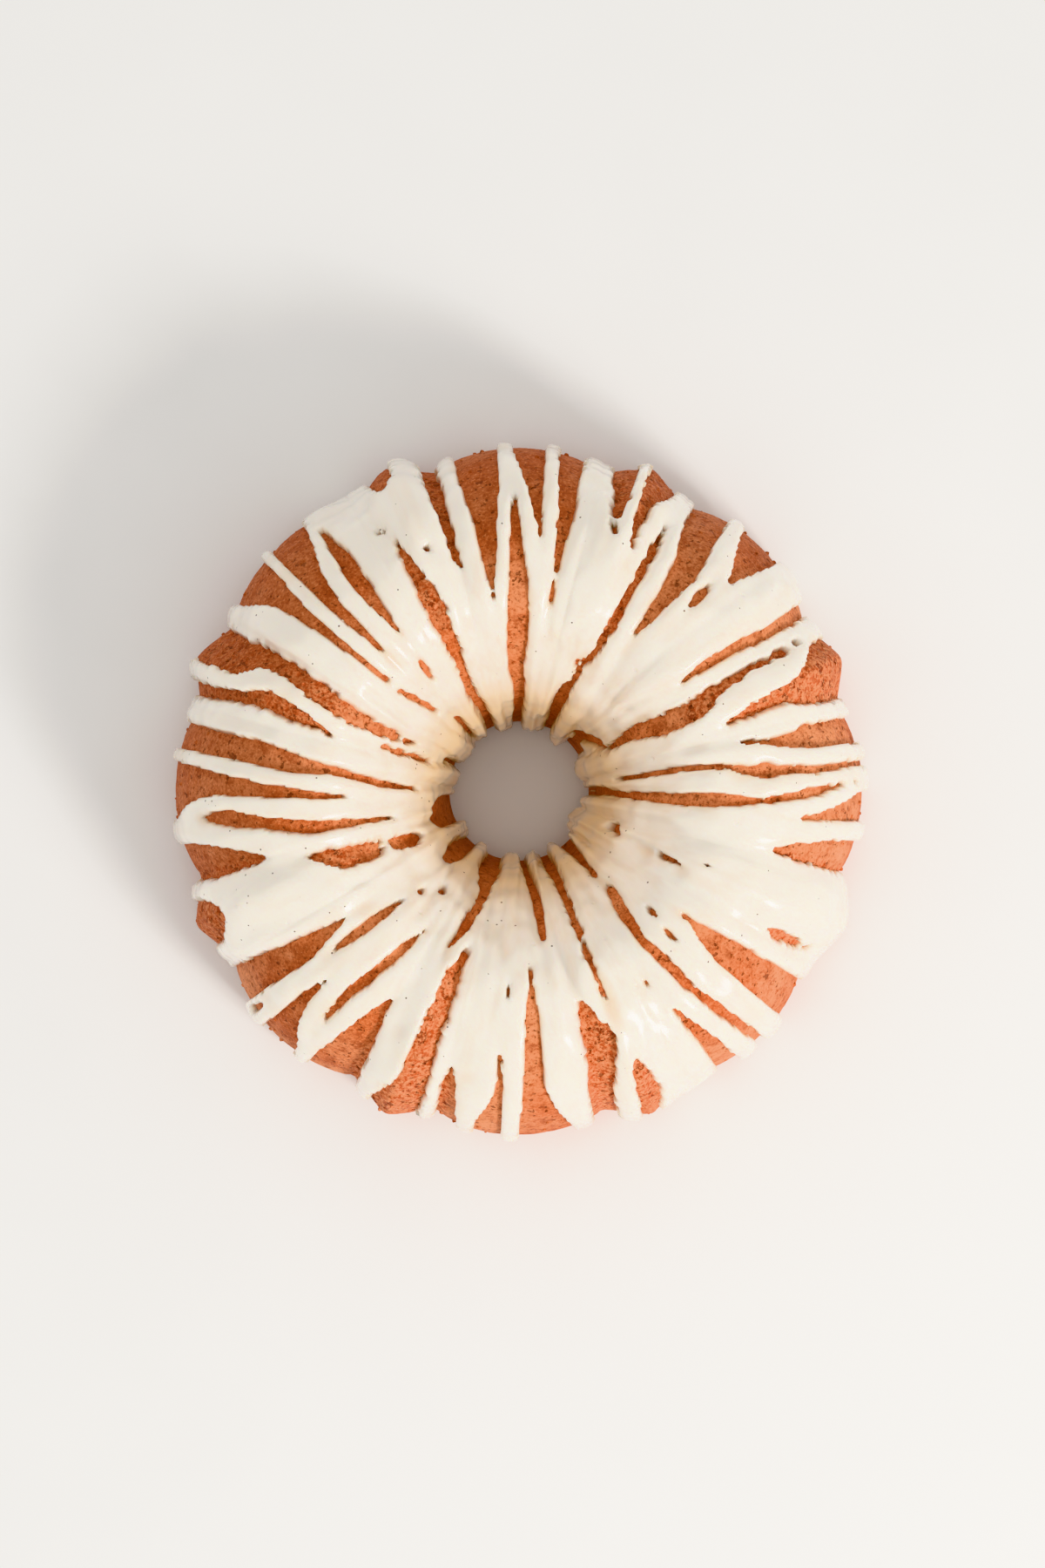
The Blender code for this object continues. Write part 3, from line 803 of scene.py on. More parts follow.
def outline():
    """The icing's signed distance on the whole skin."""
    inside = icing_depth_inside()
    foot = HEIGHT - foot_heights()[:, None] - tip_rounding(inside)
    hole = HEIGHT - HOLE_END - END_WAVE * ripple(circle_round(HOLE_RADIUS), 11.0 * MM, 8)[:, None]
    ends = np.where(SKIN_RADIUS > CROWN_RADIUS, foot, hole)
    inside = smooth(np.minimum(inside, ends), *OUTLINE_BLUR)
    return inside + SPREAD + 0.2 * ripple(SKIN, 8.0 * MM, 21) + raggedness()


INSIDE = outline()
print("share of the skin under icing:", round(float((INSIDE > 0.0).mean()), 3))

# %% [markdown]
# ## Cut the sheet along its outline
#
# A sheet that keeps whole squares would have a stepped edge. Each triangle that the outline
# crosses is cut instead, with a new corner where the signed distance is zero on its sides, so the
# edge is as smooth as the outline itself.


# %% Triangles of the sheet, cut along the outline
LEAST_SHARE = 0.1


def grid_triangles(columns, rows):
    """Two triangles for each cell of each column and row, facing outwards, closed round the ring."""
    column, row = np.meshgrid(np.arange(columns), np.arange(rows - 1), indexing="ij")
    after = (column + 1) % columns
    a, b = column * rows + row, after * rows + row
    c, d = after * rows + row + 1, column * rows + row + 1
    flip = (column + row) % 2 == 0
    one = np.where(flip[..., None], np.stack([a, d, c], -1), np.stack([a, d, b], -1))
    two = np.where(flip[..., None], np.stack([a, c, b], -1), np.stack([d, c, b], -1))
    return np.stack([one, two], axis=2)


def cut_sheet(triangles, value):
    """Cut the sheet where the value is zero.

    Returns the triangles that stay, the sides that were cut as pairs of corners with the share of the
    way along each, and the edge of the sheet as pairs of new corners.
    """
    above = value > 0.0
    count = above[triangles].sum(axis=1)
    whole = triangles[count == 3]
    crossed = triangles[(count == 1) | (count == 2)]
    single = (above[crossed].sum(axis=1) == 1)[:, None]
    odd = np.argmax(above[crossed] == single, axis=1)[:, None]
    crossed = np.take_along_axis(crossed, (np.arange(3) + odd) % 3, axis=1)
    a, b, c = crossed.T
    sides = np.sort(np.concatenate([np.stack([a, b], 1), np.stack([a, c], 1)]), axis=1)
    sides, place = np.unique(sides, axis=0, return_inverse=True)
    place = place.reshape(-1) + len(value)
    ab, ac = place[: len(a)], place[len(a) :]
    share = value[sides[:, 0]] / (value[sides[:, 0]] - value[sides[:, 1]])
    share = np.clip(share, LEAST_SHARE, 1.0 - LEAST_SHARE)
    tip = single[:, 0]
    kept = [
        whole,
        np.stack([a, ab, ac], 1)[tip],
        np.stack([ab, b, c], 1)[~tip],
        np.stack([ab, c, ac], 1)[~tip],
    ]
    edge = np.concatenate([np.stack([ab, ac], 1)[tip], np.stack([ac, ab], 1)[~tip]])
    return np.concatenate(kept), sides, share, edge


def along_sides(values, sides, share):
    """Values at the cut corners, between the two ends of each side."""
    weight = share if values.ndim == 1 else share[:, None]
    return values[sides[:, 0]] * (1.0 - weight) + values[sides[:, 1]] * weight


SHEET, SIDES, SHARE, EDGE = cut_sheet(grid_triangles(COLUMNS, ROWS).reshape(-1, 3), INSIDE.reshape(-1))
FLAT_SKIN = SKIN.reshape(-1, 3)
RIM = along_sides(FLAT_SKIN, SIDES, SHARE)
print("triangles on top of the icing:", len(SHEET), "corners on its edge:", len(RIM))

# %% [markdown]
# ## How thick the icing lies
#
# Thick icing ends in a round bead: the surface rises steeply from the edge and levels off a few
# millimetres in. So the thickness depends on the true distance to the edge, which a search tree
# over the edge's points gives. Streams that ran together leave faint ribs along their flow, and a
# crease where they met. The icing fills the grooves, and each drip is fatter at its end. Later
# pours lie over the first in the same kind of rows as the gaps, and round drips run down the wall of
# the hole.

# %% Later streams that lie over the first
POUR_DEPTH = 1.3
POUR_BEAD = 2.2

POURS = {
    "upper_left": ((225, 109.0, 110.5), (267, 106.5, 112.6), (301, 105.0, 113.3), (324, 104.5, 115.6),
                   (356, 104.5, 118.2), (377, 105.0, 116.3), (394, 105.0, 112.1), (410, 106.0, 111.0)),
    "top": ((185, 74.0, 78.0), (200, 69.5, 80.5), (230, 67.0, 80.0), (260, 65.5, 79.0),
            (300, 66.0, 78.0), (330, 69.5, 76.5), (350, 71.5, 74.0)),
    "right": ((150, 40.5, 43.0), (180, 37.0, 44.0), (230, 36.0, 43.5), (290, 36.5, 42.0),
              (340, 36.5, 41.0), (375, 38.0, 40.0)),
    "lower_left": ((205, 212.5, 214.5), (240, 205.5, 215.0), (264, 201.5, 214.5), (300, 199.6, 213.0),
                   (324, 198.8, 212.8), (352, 200.0, 212.0), (375, 203.0, 211.0)),
    "lower_right": ((230, 340.5, 341.5), (260, 337.5, 342.5), (300, 334.5, 342.5), (350, 333.5, 343.0),
                    (385, 335.5, 342.0), (396, 337.0, 340.0)),
    "bottom": ((300, 297.5, 300.5), (330, 296.0, 303.0), (360, 296.0, 304.5), (385, 297.0, 304.0),
               (395, 299.0, 302.0)),
    "left": ((150, 150.0, 153.5), (190, 147.0, 151.5), (240, 144.5, 149.5), (300, 144.5, 149.0),
             (350, 146.0, 149.0)),
}

# Round drips down the wall of the hole: angle, half width, height of the tip and thickness, in mm.
HOLE_DRIPS = (
    (19.0, 4.6, 11.0, 2.6),
    (6.5, 2.6, 24.0, 1.6),
    (350.0, 3.6, 15.0, 2.0),
    (334.0, 5.4, 7.0, 3.4),
    (317.0, 2.6, 19.0, 1.8),
    (306.0, 2.9, 33.0, 2.2),
    (300.0, 3.4, 6.0, 2.0),
    (279.0, 2.8, 8.0, 1.7),
    (264.0, 3.8, 7.0, 1.8),
    (236.0, 4.2, 12.0, 1.8),
    (210.5, 3.2, 9.0, 1.9),
    (168.0, 3.8, 9.0, 2.0),
    (144.0, 4.2, 10.0, 2.4),
    (122.5, 3.0, 20.0, 2.2),
    (106.5, 3.2, 17.0, 1.9),
    (82.0, 3.2, 8.0, 1.6),
    (74.0, 2.6, 36.0, 2.0),
    (57.0, 4.4, 8.0, 2.3),
)


# What changes from the hole to the foot: distances as the camera sees them, and the value at each.
BEAD_WIDTHS = ([95.0, 140.0, 325.0, 380.0], [1.9, 3.4, 3.4, 6.5])
RIB_SHARE = ([70, 110, 250, 330], [0.5, 0.75, 0.7, 0.3])
FOLD_SHARE = ([105, 150], [0.4, 0.0])
POUR_SHARE = ([365.0, 388.0], [1.0, 0.3])
HOLE_DRIP_SHARE = ([95.0, 150.0], [1.0, 0.0])
print("later pours:", len(POURS), "drips in the hole:", len(HOLE_DRIPS))


# %% Distance to the edge and thickness
ICING_DEPTH = 2.1
DRIP_SWELL = 0.35
DRIP_LENGTH = 7.0
GROOVE_FILL = (-0.8, 1.8)
CREASE_WIDTH = 1.7
CREASE_LENGTH = 17.0
CREASE_START = 3.0
CREASE_DEPTH = 0.85
RIM_SUNK = 1.3
SUNK = 2.0
TOP_BLUR = (1.2, 1.0)
EDGE_KEPT = 0.7
EDGE_BLEND = 1.5
NEVER_ZERO = 1e-6


def distance_to_edge():
    """Millimetres from each cell under icing to the icing's edge, measured on the skin."""
    middles = (RIM[EDGE[:, 0] - len(FLAT_SKIN)] + RIM[EDGE[:, 1] - len(FLAT_SKIN)]) / 2.0
    search = search_tree(np.concatenate([RIM, middles]))
    distance = np.zeros(len(FLAT_SKIN))
    for i in np.nonzero(INSIDE.reshape(-1) > 0.0)[0]:
        distance[i] = search.find(FLAT_SKIN[i])[2]
    return distance.reshape(INSIDE.shape) / MM


def quarter_round(reach):
    """The height of a round edge: 0 at its start, 1 where it has levelled off."""
    return np.sqrt(1.0 - (1.0 - reach) ** 2)


def crease(end, way):
    """A shallow groove that runs on from the end of a gap, where two streams have met."""
    seen, low, high = end
    along = way * (SEEN - seen) / SEEN_SCALE
    fade = np.clip(1.0 - along / CREASE_LENGTH, 0.0, 1.0) * np.clip(1.0 + along / CREASE_START, 0.0, 1.0)
    return np.exp(-((beside((low + high) / 2.0) / CREASE_WIDTH) ** 2)) * fade


def creases():
    """The creases of all gaps together, from 0 to 1."""
    total = np.zeros(SEEN.shape)
    for rows in GAPS.values():
        total = np.maximum(total, crease(rows[0], -1.0))
        if rows[-1][0] != FOOT_SEEN:
            total = np.maximum(total, crease(rows[-1], 1.0))
    return total


def second_pours():
    """The thickness that the later streams add where they lie over the first ones, in millimetres."""
    total = np.zeros(SEEN.shape)
    for rows in POURS.values():
        total = np.maximum(total, quarter_round(np.clip(inside_gap(rows) / POUR_BEAD, 0.0, 1.0)))
    return total * POUR_DEPTH * np.interp(SEEN, *POUR_SHARE)


def hole_drips():
    """The thickness that the round drips add on the wall of the hole, in millimetres."""
    total = np.zeros(SEEN.shape)
    wander = 0.5 * ripple(SKIN, 11.0 * MM, 35)
    for angle, half, lowest, depth in HOLE_DRIPS:
        below = np.clip(lowest + half - HEIGHT, 0.0, None)
        away = np.clip(np.hypot(beside(angle) + wander, below) / half, 0.0, 1.0)
        total = np.maximum(total, depth * np.sqrt(1.0 - away**4))
    return total * np.interp(SEEN, *HOLE_DRIP_SHARE)


def relief():
    """What the pouring leaves on top of an even coat, in millimetres."""
    ribs = ripple(stretched(CROWN_RADIUS, SKIN_RADIUS * 0.18), 8.5 * MM, 31)
    folds = ripple(stretched(HOLE_RADIUS * 0.5, SKIN[..., 2] * 1.4), 9.0 * MM, 34)
    flow = ribs * np.interp(SEEN, *RIB_SHARE) + folds * np.interp(SEEN, *FOLD_SHARE)
    lumps = 0.6 * ripple(SKIN, 20.0 * MM, 32) + 0.3 * ripple(SKIN, 9.0 * MM, 33)
    above = np.clip(HEIGHT - foot_heights()[:, None], 0.0, None)
    drip = np.where(SKIN_RADIUS > CROWN_RADIUS, DRIP_SWELL * np.exp(-above / DRIP_LENGTH), 0.0)
    return flow + lumps + drip + second_pours() + hole_drips() - CREASE_DEPTH * creases()


def thickness(distance):
    """Millimetres of icing over each cell."""
    reach = np.clip(distance / np.interp(SEEN, *BEAD_WIDTHS), 0.0, 1.0)
    groove = np.sum((GUIDE - SKIN) * NORMAL, axis=2) / MM
    depth = quarter_round(reach) * (ICING_DEPTH + relief()) + reach * np.clip(groove, *GROOVE_FILL)
    under = (INSIDE > 0.0).astype(float)
    soft = smooth(depth * under, *TOP_BLUR) / (smooth(under, *TOP_BLUR) + NEVER_ZERO)
    inner = np.clip((distance - EDGE_KEPT) / EDGE_BLEND, 0.0, 1.0)
    return depth * (1.0 - inner) + soft * inner


DISTANCE = distance_to_edge()
DEPTH = thickness(DISTANCE)
MIDDLE_DEPTH = float(np.median(DEPTH[INSIDE > 0]))
print("icing depth, mm: middle", round(MIDDLE_DEPTH, 2), "most", round(float(DEPTH.max()), 2))


# %% Coarse blocks for the hidden underside
BLOCK = 4


def whole_blocks():
    """Which blocks of cells lie wholly under icing."""
    under = INSIDE > 0.0
    corner = under & np.roll(under, -1, axis=0)
    cell = corner[:, :-1] & corner[:, 1:]
    down = (ROWS - 1) // BLOCK
    return cell[:, : down * BLOCK].reshape(COLUMNS // BLOCK, BLOCK, down, BLOCK).all(axis=(1, 3))


def block_outline(across, down, whole):
    """The corners round one block; those between its own corners stay only beside a fine block."""
    left, right = across * BLOCK, (across + 1) * BLOCK
    top, low = down * BLOCK, (down + 1) * BLOCK
    sides = (
        ([(left, top + step) for step in range(BLOCK)], (across - 1, down)),
        ([(left + step, low) for step in range(BLOCK)], (across, down + 1)),
        ([(right, low - step) for step in range(BLOCK)], (across + 1, down)),
        ([(right - step, top) for step in range(BLOCK)], (across, down - 1)),
    )
    loop = []
    for corners, (next_across, next_down) in sides:
        inside = 0 <= next_down < whole.shape[1] and whole[next_across % whole.shape[0], next_down]
        loop += corners[:1] if inside else corners
    return [(column % COLUMNS) * ROWS + row for column, row in loop]


def underside():
    """The fine triangles beside the edge, and one face for each block further in."""
    whole = whole_blocks()
    fine = np.ones((COLUMNS, ROWS - 1), dtype=bool)
    fine[:, : whole.shape[1] * BLOCK] = ~whole.repeat(BLOCK, axis=0).repeat(BLOCK, axis=1)
    triangles = cut_sheet(grid_triangles(COLUMNS, ROWS)[fine].reshape(-1, 3), INSIDE.reshape(-1))[0]
    blocks = [block_outline(across, down, whole) for across, down in np.argwhere(whole)]
    return triangles, blocks


# %% Close the sheet into a solid piece
TOP_EASE = 1.6 * MM


def mesh_from(name, points, triangles, faces):
    """A smooth mesh from corners, triangles and faces of more corners."""
    sizes = np.concatenate([np.full(len(triangles), 3), [len(face) for face in faces]]).astype(np.int32)
    corners = np.concatenate([triangles.reshape(-1), [i for face in faces for i in face]]).astype(np.int64)
    used, corners = np.unique(corners, return_inverse=True)
    mesh = bpy.data.meshes.new(name)
    mesh.vertices.add(len(used))
    mesh.vertices.foreach_set("co", points[used].astype(np.float32).reshape(-1))
    mesh.loops.add(len(corners))
    mesh.loops.foreach_set("vertex_index", corners.astype(np.int32).reshape(-1))
    mesh.polygons.add(len(sizes))
    mesh.polygons.foreach_set("loop_start", np.concatenate([[0], np.cumsum(sizes)[:-1]]).astype(np.int32))
    mesh.update(calc_edges=True)
    mesh.shade_smooth()
    return mesh, used


def icing_mesh():
    """The top, and an underside that meets it in a rim sunk into the crust."""
    normal = NORMAL.reshape(-1, 3)
    upper = FLAT_SKIN + normal * DEPTH.reshape(-1, 1) * MM
    rim = RIM - along_sides(normal, SIDES, SHARE) * RIM_SUNK * MM
    lower = FLAT_SKIN - normal * SUNK * MM
    first_lower = len(upper) + len(rim)
    fine, blocks = underside()
    fine = np.where(fine < len(upper), fine + first_lower, fine)
    faces = [[corner + first_lower for corner in block[::-1]] for block in blocks]
    points = np.concatenate([upper, rim, lower])
    over = np.clip(points[:, 2] - (CAD_BOX[1][2] - TOP_EASE), 0.0, None)
    points[:, 2] += TOP_EASE * (1.0 - np.exp(-over / TOP_EASE)) - over
    mesh, used = mesh_from("icing", points, np.concatenate([SHEET, fine[:, ::-1]]), faces)
    depth = np.zeros(len(points))
    depth[: DEPTH.size] = DEPTH.reshape(-1)
    stored = mesh.attributes.new("icing_depth", "FLOAT", "POINT")
    stored.data.foreach_set("value", depth[used].astype(np.float32))
    return mesh


def triangle_count(mesh):
    """How many triangles a mesh has once its faces are split."""
    mesh.calc_loop_triangles()
    return len(mesh.loop_triangles)


ICING_MESH = icing_mesh()
print("icing triangles:", triangle_count(ICING_MESH))

# %% [markdown]
# ## The crust's material
#
# A baked crust is never one brown. Broad patches are baked more or less brown, small blotches follow
# the crumb, and the side of the ring away from the lamp is darker with painted shade. Tiny open pores
# are dark with painted shade, and so is the crust down in the hole. On the ridges the skin tore off
# with the tin, so brighter crumb shows, with cracks darkened by painted shade. Noise textures and
# sums on the object's own coordinates give all of it, and the same textures press a fine bump.


# %% Colours and a new material
def from_screen(red, green, blue):
    """A colour as a screen shows it, 0 to 255, as the linear colour that a shader takes."""
    shares = [value / 255.0 for value in (red, green, blue)]
    linear = [s / 12.92 if s <= 0.04045 else ((s + 0.055) / 1.055) ** 2.4 for s in shares]
    return (*linear, 1.0)


def new_material(name):
    """A node material: its tree, its shader node and the object coordinates."""
    material = bpy.data.materials.new(name)
    material.use_nodes = True
    tree = material.node_tree
    shader = tree.nodes["Principled BSDF"]
    place = Wire(tree, tree.nodes.new("ShaderNodeTexCoord").outputs["Object"])
    return material, tree, shader, place


def mix_colour(tree, share, one, two):
    """One colour turning into another."""
    values = {0: share, 6: one, 7: two}
    return add(tree, "ShaderNodeMix", {"data_type": "RGBA"}, values, 2)


def bump(tree, height, strength, distance):
    """A height as a normal for a shader."""
    values = {"Height": height, "Strength": strength, "Distance": distance}
    return add(tree, "ShaderNodeBump", {}, values)


# %% The crust
CRUST_LIGHT = from_screen(234, 152, 106)
CRUST_MIDDLE = from_screen(208, 112, 66)
CRUST_DARK = from_screen(142, 60, 28)
# The pore colour is painted shade in the pores.
CRUST_PORE_SHADE = from_screen(92, 28, 8)
# The hole colour is painted shade for the crust down in the hole.
CRUST_HOLE_SHADE = from_screen(150, 66, 20)
# The side colour, at the angle given below, is painted shade for the side of the ring away from the lamp.
CRUST_SIDE_SHADE = from_screen(168, 84, 44)
TORN_LIGHT = from_screen(248, 162, 114)
TORN_DARK = from_screen(190, 84, 42)
# The crack colour is painted shade in the cracks of the torn crumb.
TORN_CRACK_SHADE = from_screen(134, 44, 16)
SHADED_SIDE_ANGLE = 120.0


def crust_material():
    """A finely grained skin, brighter torn crumb on the ridges, and painted shade on one side, in the hole,
    pores and cracks.
    """
    material, tree, shader, place = new_material("crust_baked")
    x, y, _ = parts_of(tree, place)
    radius = from_axis(x, y)
    ridge = beyond_lobe(tree, x, y).between(LOBE_HALF - 3.5, LOBE_HALF + 1.5) * radius.between(0.045, 0.075)
    torn = (ridge * 0.5 + noise(tree, place, 85.0, 3.0)).between(0.6, 0.9)
    broad = noise(tree, place, 26.0, 3.0)
    blotch = noise(tree, place, 210.0, 4.0, 0.65)
    grain = noise(tree, place, 900.0, 3.0, 0.7)
    crumb = noise(tree, place, 640.0, 4.0, 0.7)
    pores = noise(tree, place, 480.0, 2.0, 0.55).between(0.62, 0.7)
    skin = mix_colour(tree, broad.between(0.36, 0.66), CRUST_LIGHT, CRUST_MIDDLE)
    skin = mix_colour(tree, blotch.between(0.46, 0.68) * 0.6, skin, CRUST_DARK)
    skin = mix_colour(tree, (1.0 - blotch).between(0.54, 0.7) * 0.5, skin, TORN_LIGHT)
    inner = mix_colour(tree, crumb.between(0.36, 0.64), TORN_LIGHT, TORN_DARK)
    # Painted shade: cracks in the torn crumb are darkened, as well as pressed in by the bump.
    cracks = noise(tree, place, 170.0, 3.0, 0.6).between(0.59, 0.68)
    inner = mix_colour(tree, cracks * crumb.between(0.35, 0.55) * 0.8, inner, TORN_CRACK_SHADE)
    baked = mix_colour(tree, torn, skin, inner)
    # Painted shade: the side of the ring away from the lamp, with broad noise in it, is mixed towards a
    # darker brown.
    turn = math.radians(SHADED_SIDE_ANGLE)
    side = (x * math.cos(turn) + y * math.sin(turn)) / radius
    side_shade = (side + broad - 0.5).between(-0.7, 0.9) * radius.between(0.05, 0.1)
    baked = mix_colour(tree, side_shade * 0.6, baked, CRUST_SIDE_SHADE)
    baked = mix_colour(tree, grain.between(0.48, 0.66) * 0.55, baked, CRUST_DARK)
    baked = mix_colour(tree, (1.0 - grain).between(0.52, 0.7) * 0.5, baked, TORN_LIGHT)
    # Painted shade: the pores are darkened, as well as pressed in by the bump.
    baked = mix_colour(tree, pores * 0.55, baked, CRUST_PORE_SHADE)
    # Painted shade: the crust down in the hole is darker, mottled with the crumb noise.
    hole_shade = (1.0 - radius.between(0.03, 0.05)) * (0.25 + crumb * 0.5)
    baked = mix_colour(tree, hole_shade, baked, CRUST_HOLE_SHADE)
    height = grain * -0.45 - blotch * 0.5 - crumb * (0.3 + torn * 0.3) - pores * 0.5 - cracks * torn * 0.8
    finish = {
        "Base Color": baked,
        "Roughness": 0.6 + blotch * 0.2,
        "Specular IOR Level": 0.25,
        "Normal": bump(tree, height, 1.0, 1.0 * MM),
    }
    feed(tree, shader, finish)
    return material


CRUST_BAKED = crust_material()
print("crust nodes:", len(CRUST_BAKED.node_tree.nodes))

# %% [markdown]
# ## The icing's material
#
# Set icing is ivory, lets a little light through, and shines softly under a clear coat. Tiny dark
# dots of vanilla seed lie all through it. Where it is thin, the brown of the crust warms it, so the
# thickness that was stored on the mesh steers the colour. Faint streaks follow its flow. Down in the
# hole it turns a warmer tan: partly thinner icing, partly painted shade and warm bounced light.

# %% The icing
ICING_THICK = from_screen(252, 241, 228)
ICING_THIN = from_screen(241, 218, 191)
# The hole colour is partly thinner icing and partly painted shade and bounced light down in the hole.
ICING_THIN_AND_HOLE_SHADE = from_screen(232, 198, 146)
VANILLA = from_screen(92, 62, 40)


def icing_material():
    """Ivory, softly glossy and flecked with vanilla."""
    material, tree, shader, place = new_material("icing_vanilla")
    depth = add(tree, "ShaderNodeAttribute", {"attribute_name": "icing_depth"}, {}, 2)
    body = mix_colour(tree, depth.between(0.1, 1.4), ICING_THIN, ICING_THICK)
    x, y, z = parts_of(tree, place)
    radius = from_axis(x, y)
    values = {"X": x / radius, "Y": y / radius, "Z": (radius + z) * 5.0}
    streaks = noise(tree, add(tree, "ShaderNodeCombineXYZ", {}, values), 13.0, 3.0)
    body = mix_colour(tree, streaks.between(0.46, 0.74) * 0.3, body, ICING_THIN)
    # Down in the hole the icing turns tan: partly thinner icing, partly painted shade.
    body = mix_colour(tree, (1.0 - radius.between(0.028, 0.043)) * 0.75, body, ICING_THIN_AND_HOLE_SHADE)
    seeds = 1.0 - cells(tree, place, 250.0).between(0.06, 0.11)
    seeds = seeds * noise(tree, place, 190.0).between(0.52, 0.55)
    body = mix_colour(tree, seeds * 0.9, body, VANILLA)
    dimples = 1.0 - cells(tree, place, 95.0).between(0.03, 0.1)
    dimples = dimples * noise(tree, place, 70.0).between(0.5, 0.55)
    height = noise(tree, place, 110.0) * 0.6 - dimples * 1.2
    finish = {
        "Base Color": body,
        "Roughness": 0.24 + noise(tree, place, 45.0) * 0.2,
        "Coat Weight": 0.9,
        "Coat Roughness": 0.14,
        "Subsurface Weight": 0.35,
        "Subsurface Radius": (1.0, 0.72, 0.42),
        "Subsurface Scale": 2.5 * MM,
        "Specular IOR Level": 0.5,
        "Normal": bump(tree, height, 0.35, 0.6 * MM),
    }
    feed(tree, shader, finish)
    return material


ICING_VANILLA = icing_material()
print("icing nodes:", len(ICING_VANILLA.node_tree.nodes))

# %% [markdown]
# ## The crust as a piece
#
# The same tree as before makes the crust, now with its roughness on: broad unevenness, a torn
# grain and small pits. It is a main piece, so it gets as many columns and rows as a piece may have.


# %% Make the crust and dress the ring
CRUST_ROWS = 148
CRUST_COLUMNS = 576
CRUMB_COUNT = 150
CRUMB_CLEAR = 0.8


def bare_spots(crust):
    """Points on bare crust, each on a corner of the crust's mesh."""
    search = search_tree(positions(crust))
    bare = np.argwhere((INSIDE < -CRUMB_CLEAR) & (HEIGHT > 4.0))
    draw = np.random.default_rng(41)
    weight = SKIN_RADIUS[bare[:, 0], bare[:, 1]]
    picked = bare[draw.choice(len(bare), CRUMB_COUNT, replace=False, p=weight / weight.sum())]
    return [search.find(SKIN[column, row])[0] for column, row in picked]


def place_piece(mesh, material):
    """A piece over the ring's axis that rides on the cake's one body and takes its finish from a slot."""
    mesh.transform(Matrix.Translation((*RING_AXIS, 0.0)))
    piece = new_object(mesh.name, mesh)
    piece.data.materials.clear()
    piece.data.materials.append(material)
    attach(piece, "root")
    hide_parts("cake")
    return piece


CRUST_MESH = grow(
    "crust",
    section_mesh(closed_section(CRUST_ROWS, BASE_POINTS)),
    RING_TREE,
    columns=CRUST_COLUMNS,
    close=True,
    unevenness=1.3 * MM,
    grain=0.55 * MM,
    pits=0.9 * MM,
)
CRUMB_SPOTS = bare_spots(CRUST_MESH)
CRUST = place_piece(CRUST_MESH, CRUST_BAKED)
ICING = place_piece(ICING_MESH, ICING_VANILLA)
print("crust triangles:", triangle_count(CRUST_MESH))
for mesh in (CRUST_MESH, ICING_MESH):
    print(mesh.name, "box:", positions(mesh).min(0), positions(mesh).max(0))

# %% [markdown]
# ## Loose crumbs
#
# Torn cake sheds crumbs, and a few lie on the crust beside the icing. They could be placed by
# hand, but a tree that puts a small uneven lump on each of a set of points does it at once. The
# points are picked on bare crust, each on the nearest corner of the finished crust, so no crumb
# hangs in the air.

# %% Crumbs on the bare crust
CRUMB_SIZES = {
    "Smallest": 0.35 * MM,
    "Largest": 0.95 * MM,
    "Seed": 17,
    "Material": None,
}
FULL_TURN = (6.28, 6.28, 6.28)


def crumb_tree():
    """A small uneven lump on every point, turned and sized at random."""
    tree, given, end = new_tree("crumbs", CRUMB_SIZES)
    lump = add(tree, "GeometryNodeMeshIcoSphere", {}, {"Radius": 1.0, "Subdivisions": 2})
    lump = push(tree, lump, here(tree), noise(tree, here(tree), 1.3, 1.0) - 0.5)
    values = {2: given["Smallest"], 3: given["Largest"], "Seed": given["Seed"]}
    size = add(tree, "FunctionNodeRandomValue", {"data_type": "FLOAT"}, values, 1)
    values = {0: (0.0, 0.0, 0.0), 1: FULL_TURN, "Seed": given["Seed"]}
    turn = add(tree, "FunctionNodeRandomValue", {"data_type": "FLOAT_VECTOR"}, values)
    values = {"Points": given["Geometry"], "Instance": lump, "Rotation": turn, "Scale": size}
    finish_tree(tree, add(tree, "GeometryNodeInstanceOnPoints", {}, values), given, end)
    return tree


CRUMB_MESH = grow("crumbs", point_mesh("crumb_spots", CRUMB_SPOTS), crumb_tree())
CRUMBS = place_piece(CRUMB_MESH, CRUST_BAKED)
print("crumb triangles:", triangle_count(CRUMB_MESH))

# %% [markdown]
# ## Floor, light and camera
#
# The photograph looks straight down in bright, soft daylight that comes mostly from the lower right.
# A pale sky does most of the work, and one large lamp gives the direction.

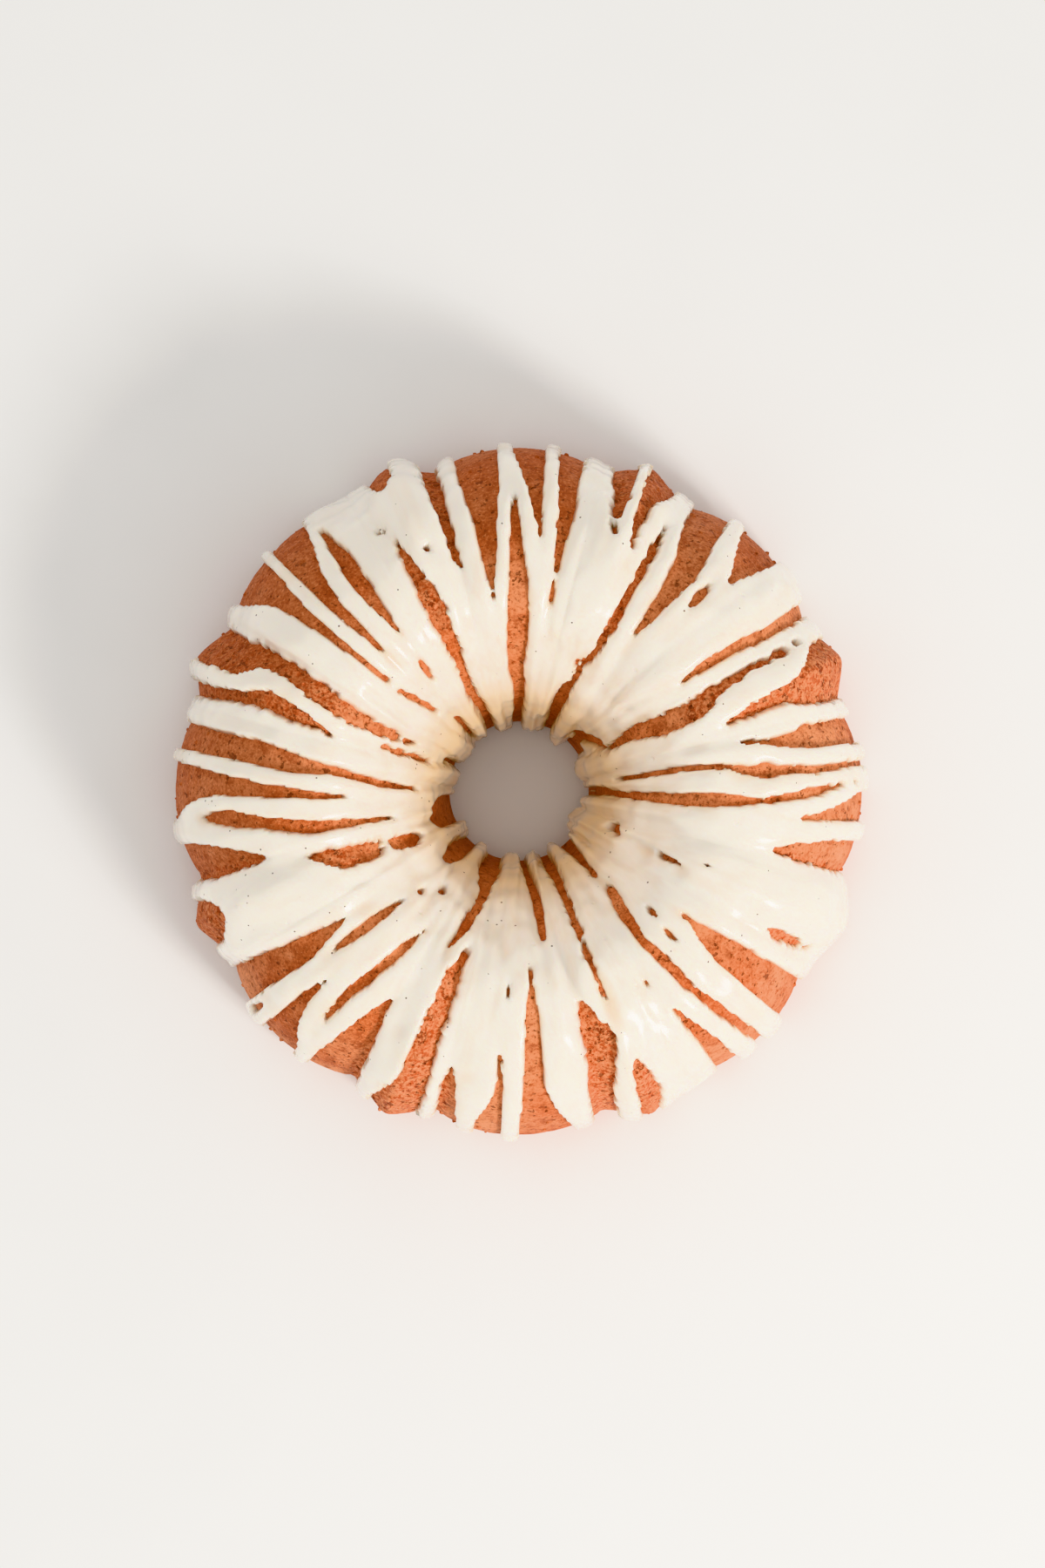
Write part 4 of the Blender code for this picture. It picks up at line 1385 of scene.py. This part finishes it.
# %% The stage
FLOOR_REACH = 3.0
FLOOR_BELOW = 0.2 * MM
FLOOR_DARK = from_screen(236, 235, 233)
FLOOR_LIGHT = from_screen(244, 243, 241)
LAMP_TARGET = (0.0, 0.0, 0.04)
SKY_COLOUR = (1.0, 0.99, 0.97, 1.0)


def pale_floor():
    """A plain pale floor under the cake."""
    mesh = bpy.data.meshes.new("floor")
    corners = [(x * FLOOR_REACH, y * FLOOR_REACH, 0.0) for x, y in ((-1, -1), (1, -1), (1, 1), (-1, 1))]
    mesh.from_pydata(corners, [], [(0, 1, 2, 3)])
    floor = new_object("floor", mesh)
    floor.location.z = -FLOOR_BELOW
    material, tree, shader, place = new_material("floor_pale")
    tone = mix_colour(tree, noise(tree, place, 14.0), FLOOR_DARK, FLOOR_LIGHT)
    feed(tree, shader, {"Base Color": tone, "Roughness": 0.7})
    mesh.materials.append(material)


def soft_lamp(name, spot, size, power, colour):
    """A square area lamp that points at the cake."""
    light = bpy.data.lights.new(name, "AREA")
    light.shape = "SQUARE"
    light.size = size
    light.energy = power
    light.color = colour
    lamp = new_object(name, light)
    lamp.location = spot
    lamp.rotation_euler = (Vector(LAMP_TARGET) - Vector(spot)).to_track_quat("-Z", "Y").to_euler()


def sky(strength):
    """An even, nearly white surround."""
    world = bpy.data.worlds.new("sky")
    world.use_nodes = True
    background = world.node_tree.nodes["Background"]
    feed(world.node_tree, background, {"Color": SKY_COLOUR, "Strength": strength})
    bpy.context.scene.world = world


pale_floor()
sky(0.82)
soft_lamp("window", (0.85, -0.8, 0.8), 0.35, 14.5, (1.0, 0.985, 0.96))
bpy.context.scene.view_settings.view_transform = "Khronos PBR Neutral"

# %% The camera
RING_IN_FRAME = (-4.0, -8.0)
LENS = 50.0
SENSOR = 36.0


def overhead_camera():
    """Straight down from where the photograph was taken."""
    data = bpy.data.cameras.new("overhead")
    data.lens = LENS
    data.sensor_width = SENSOR
    camera = new_object("overhead", data)
    x, y = (axis - value / SEEN_SCALE * MM for axis, value in zip(RING_AXIS, RING_IN_FRAME))
    camera.location = (x, y, CAMERA_HEIGHT)
    bpy.context.scene.camera = camera


overhead_camera()
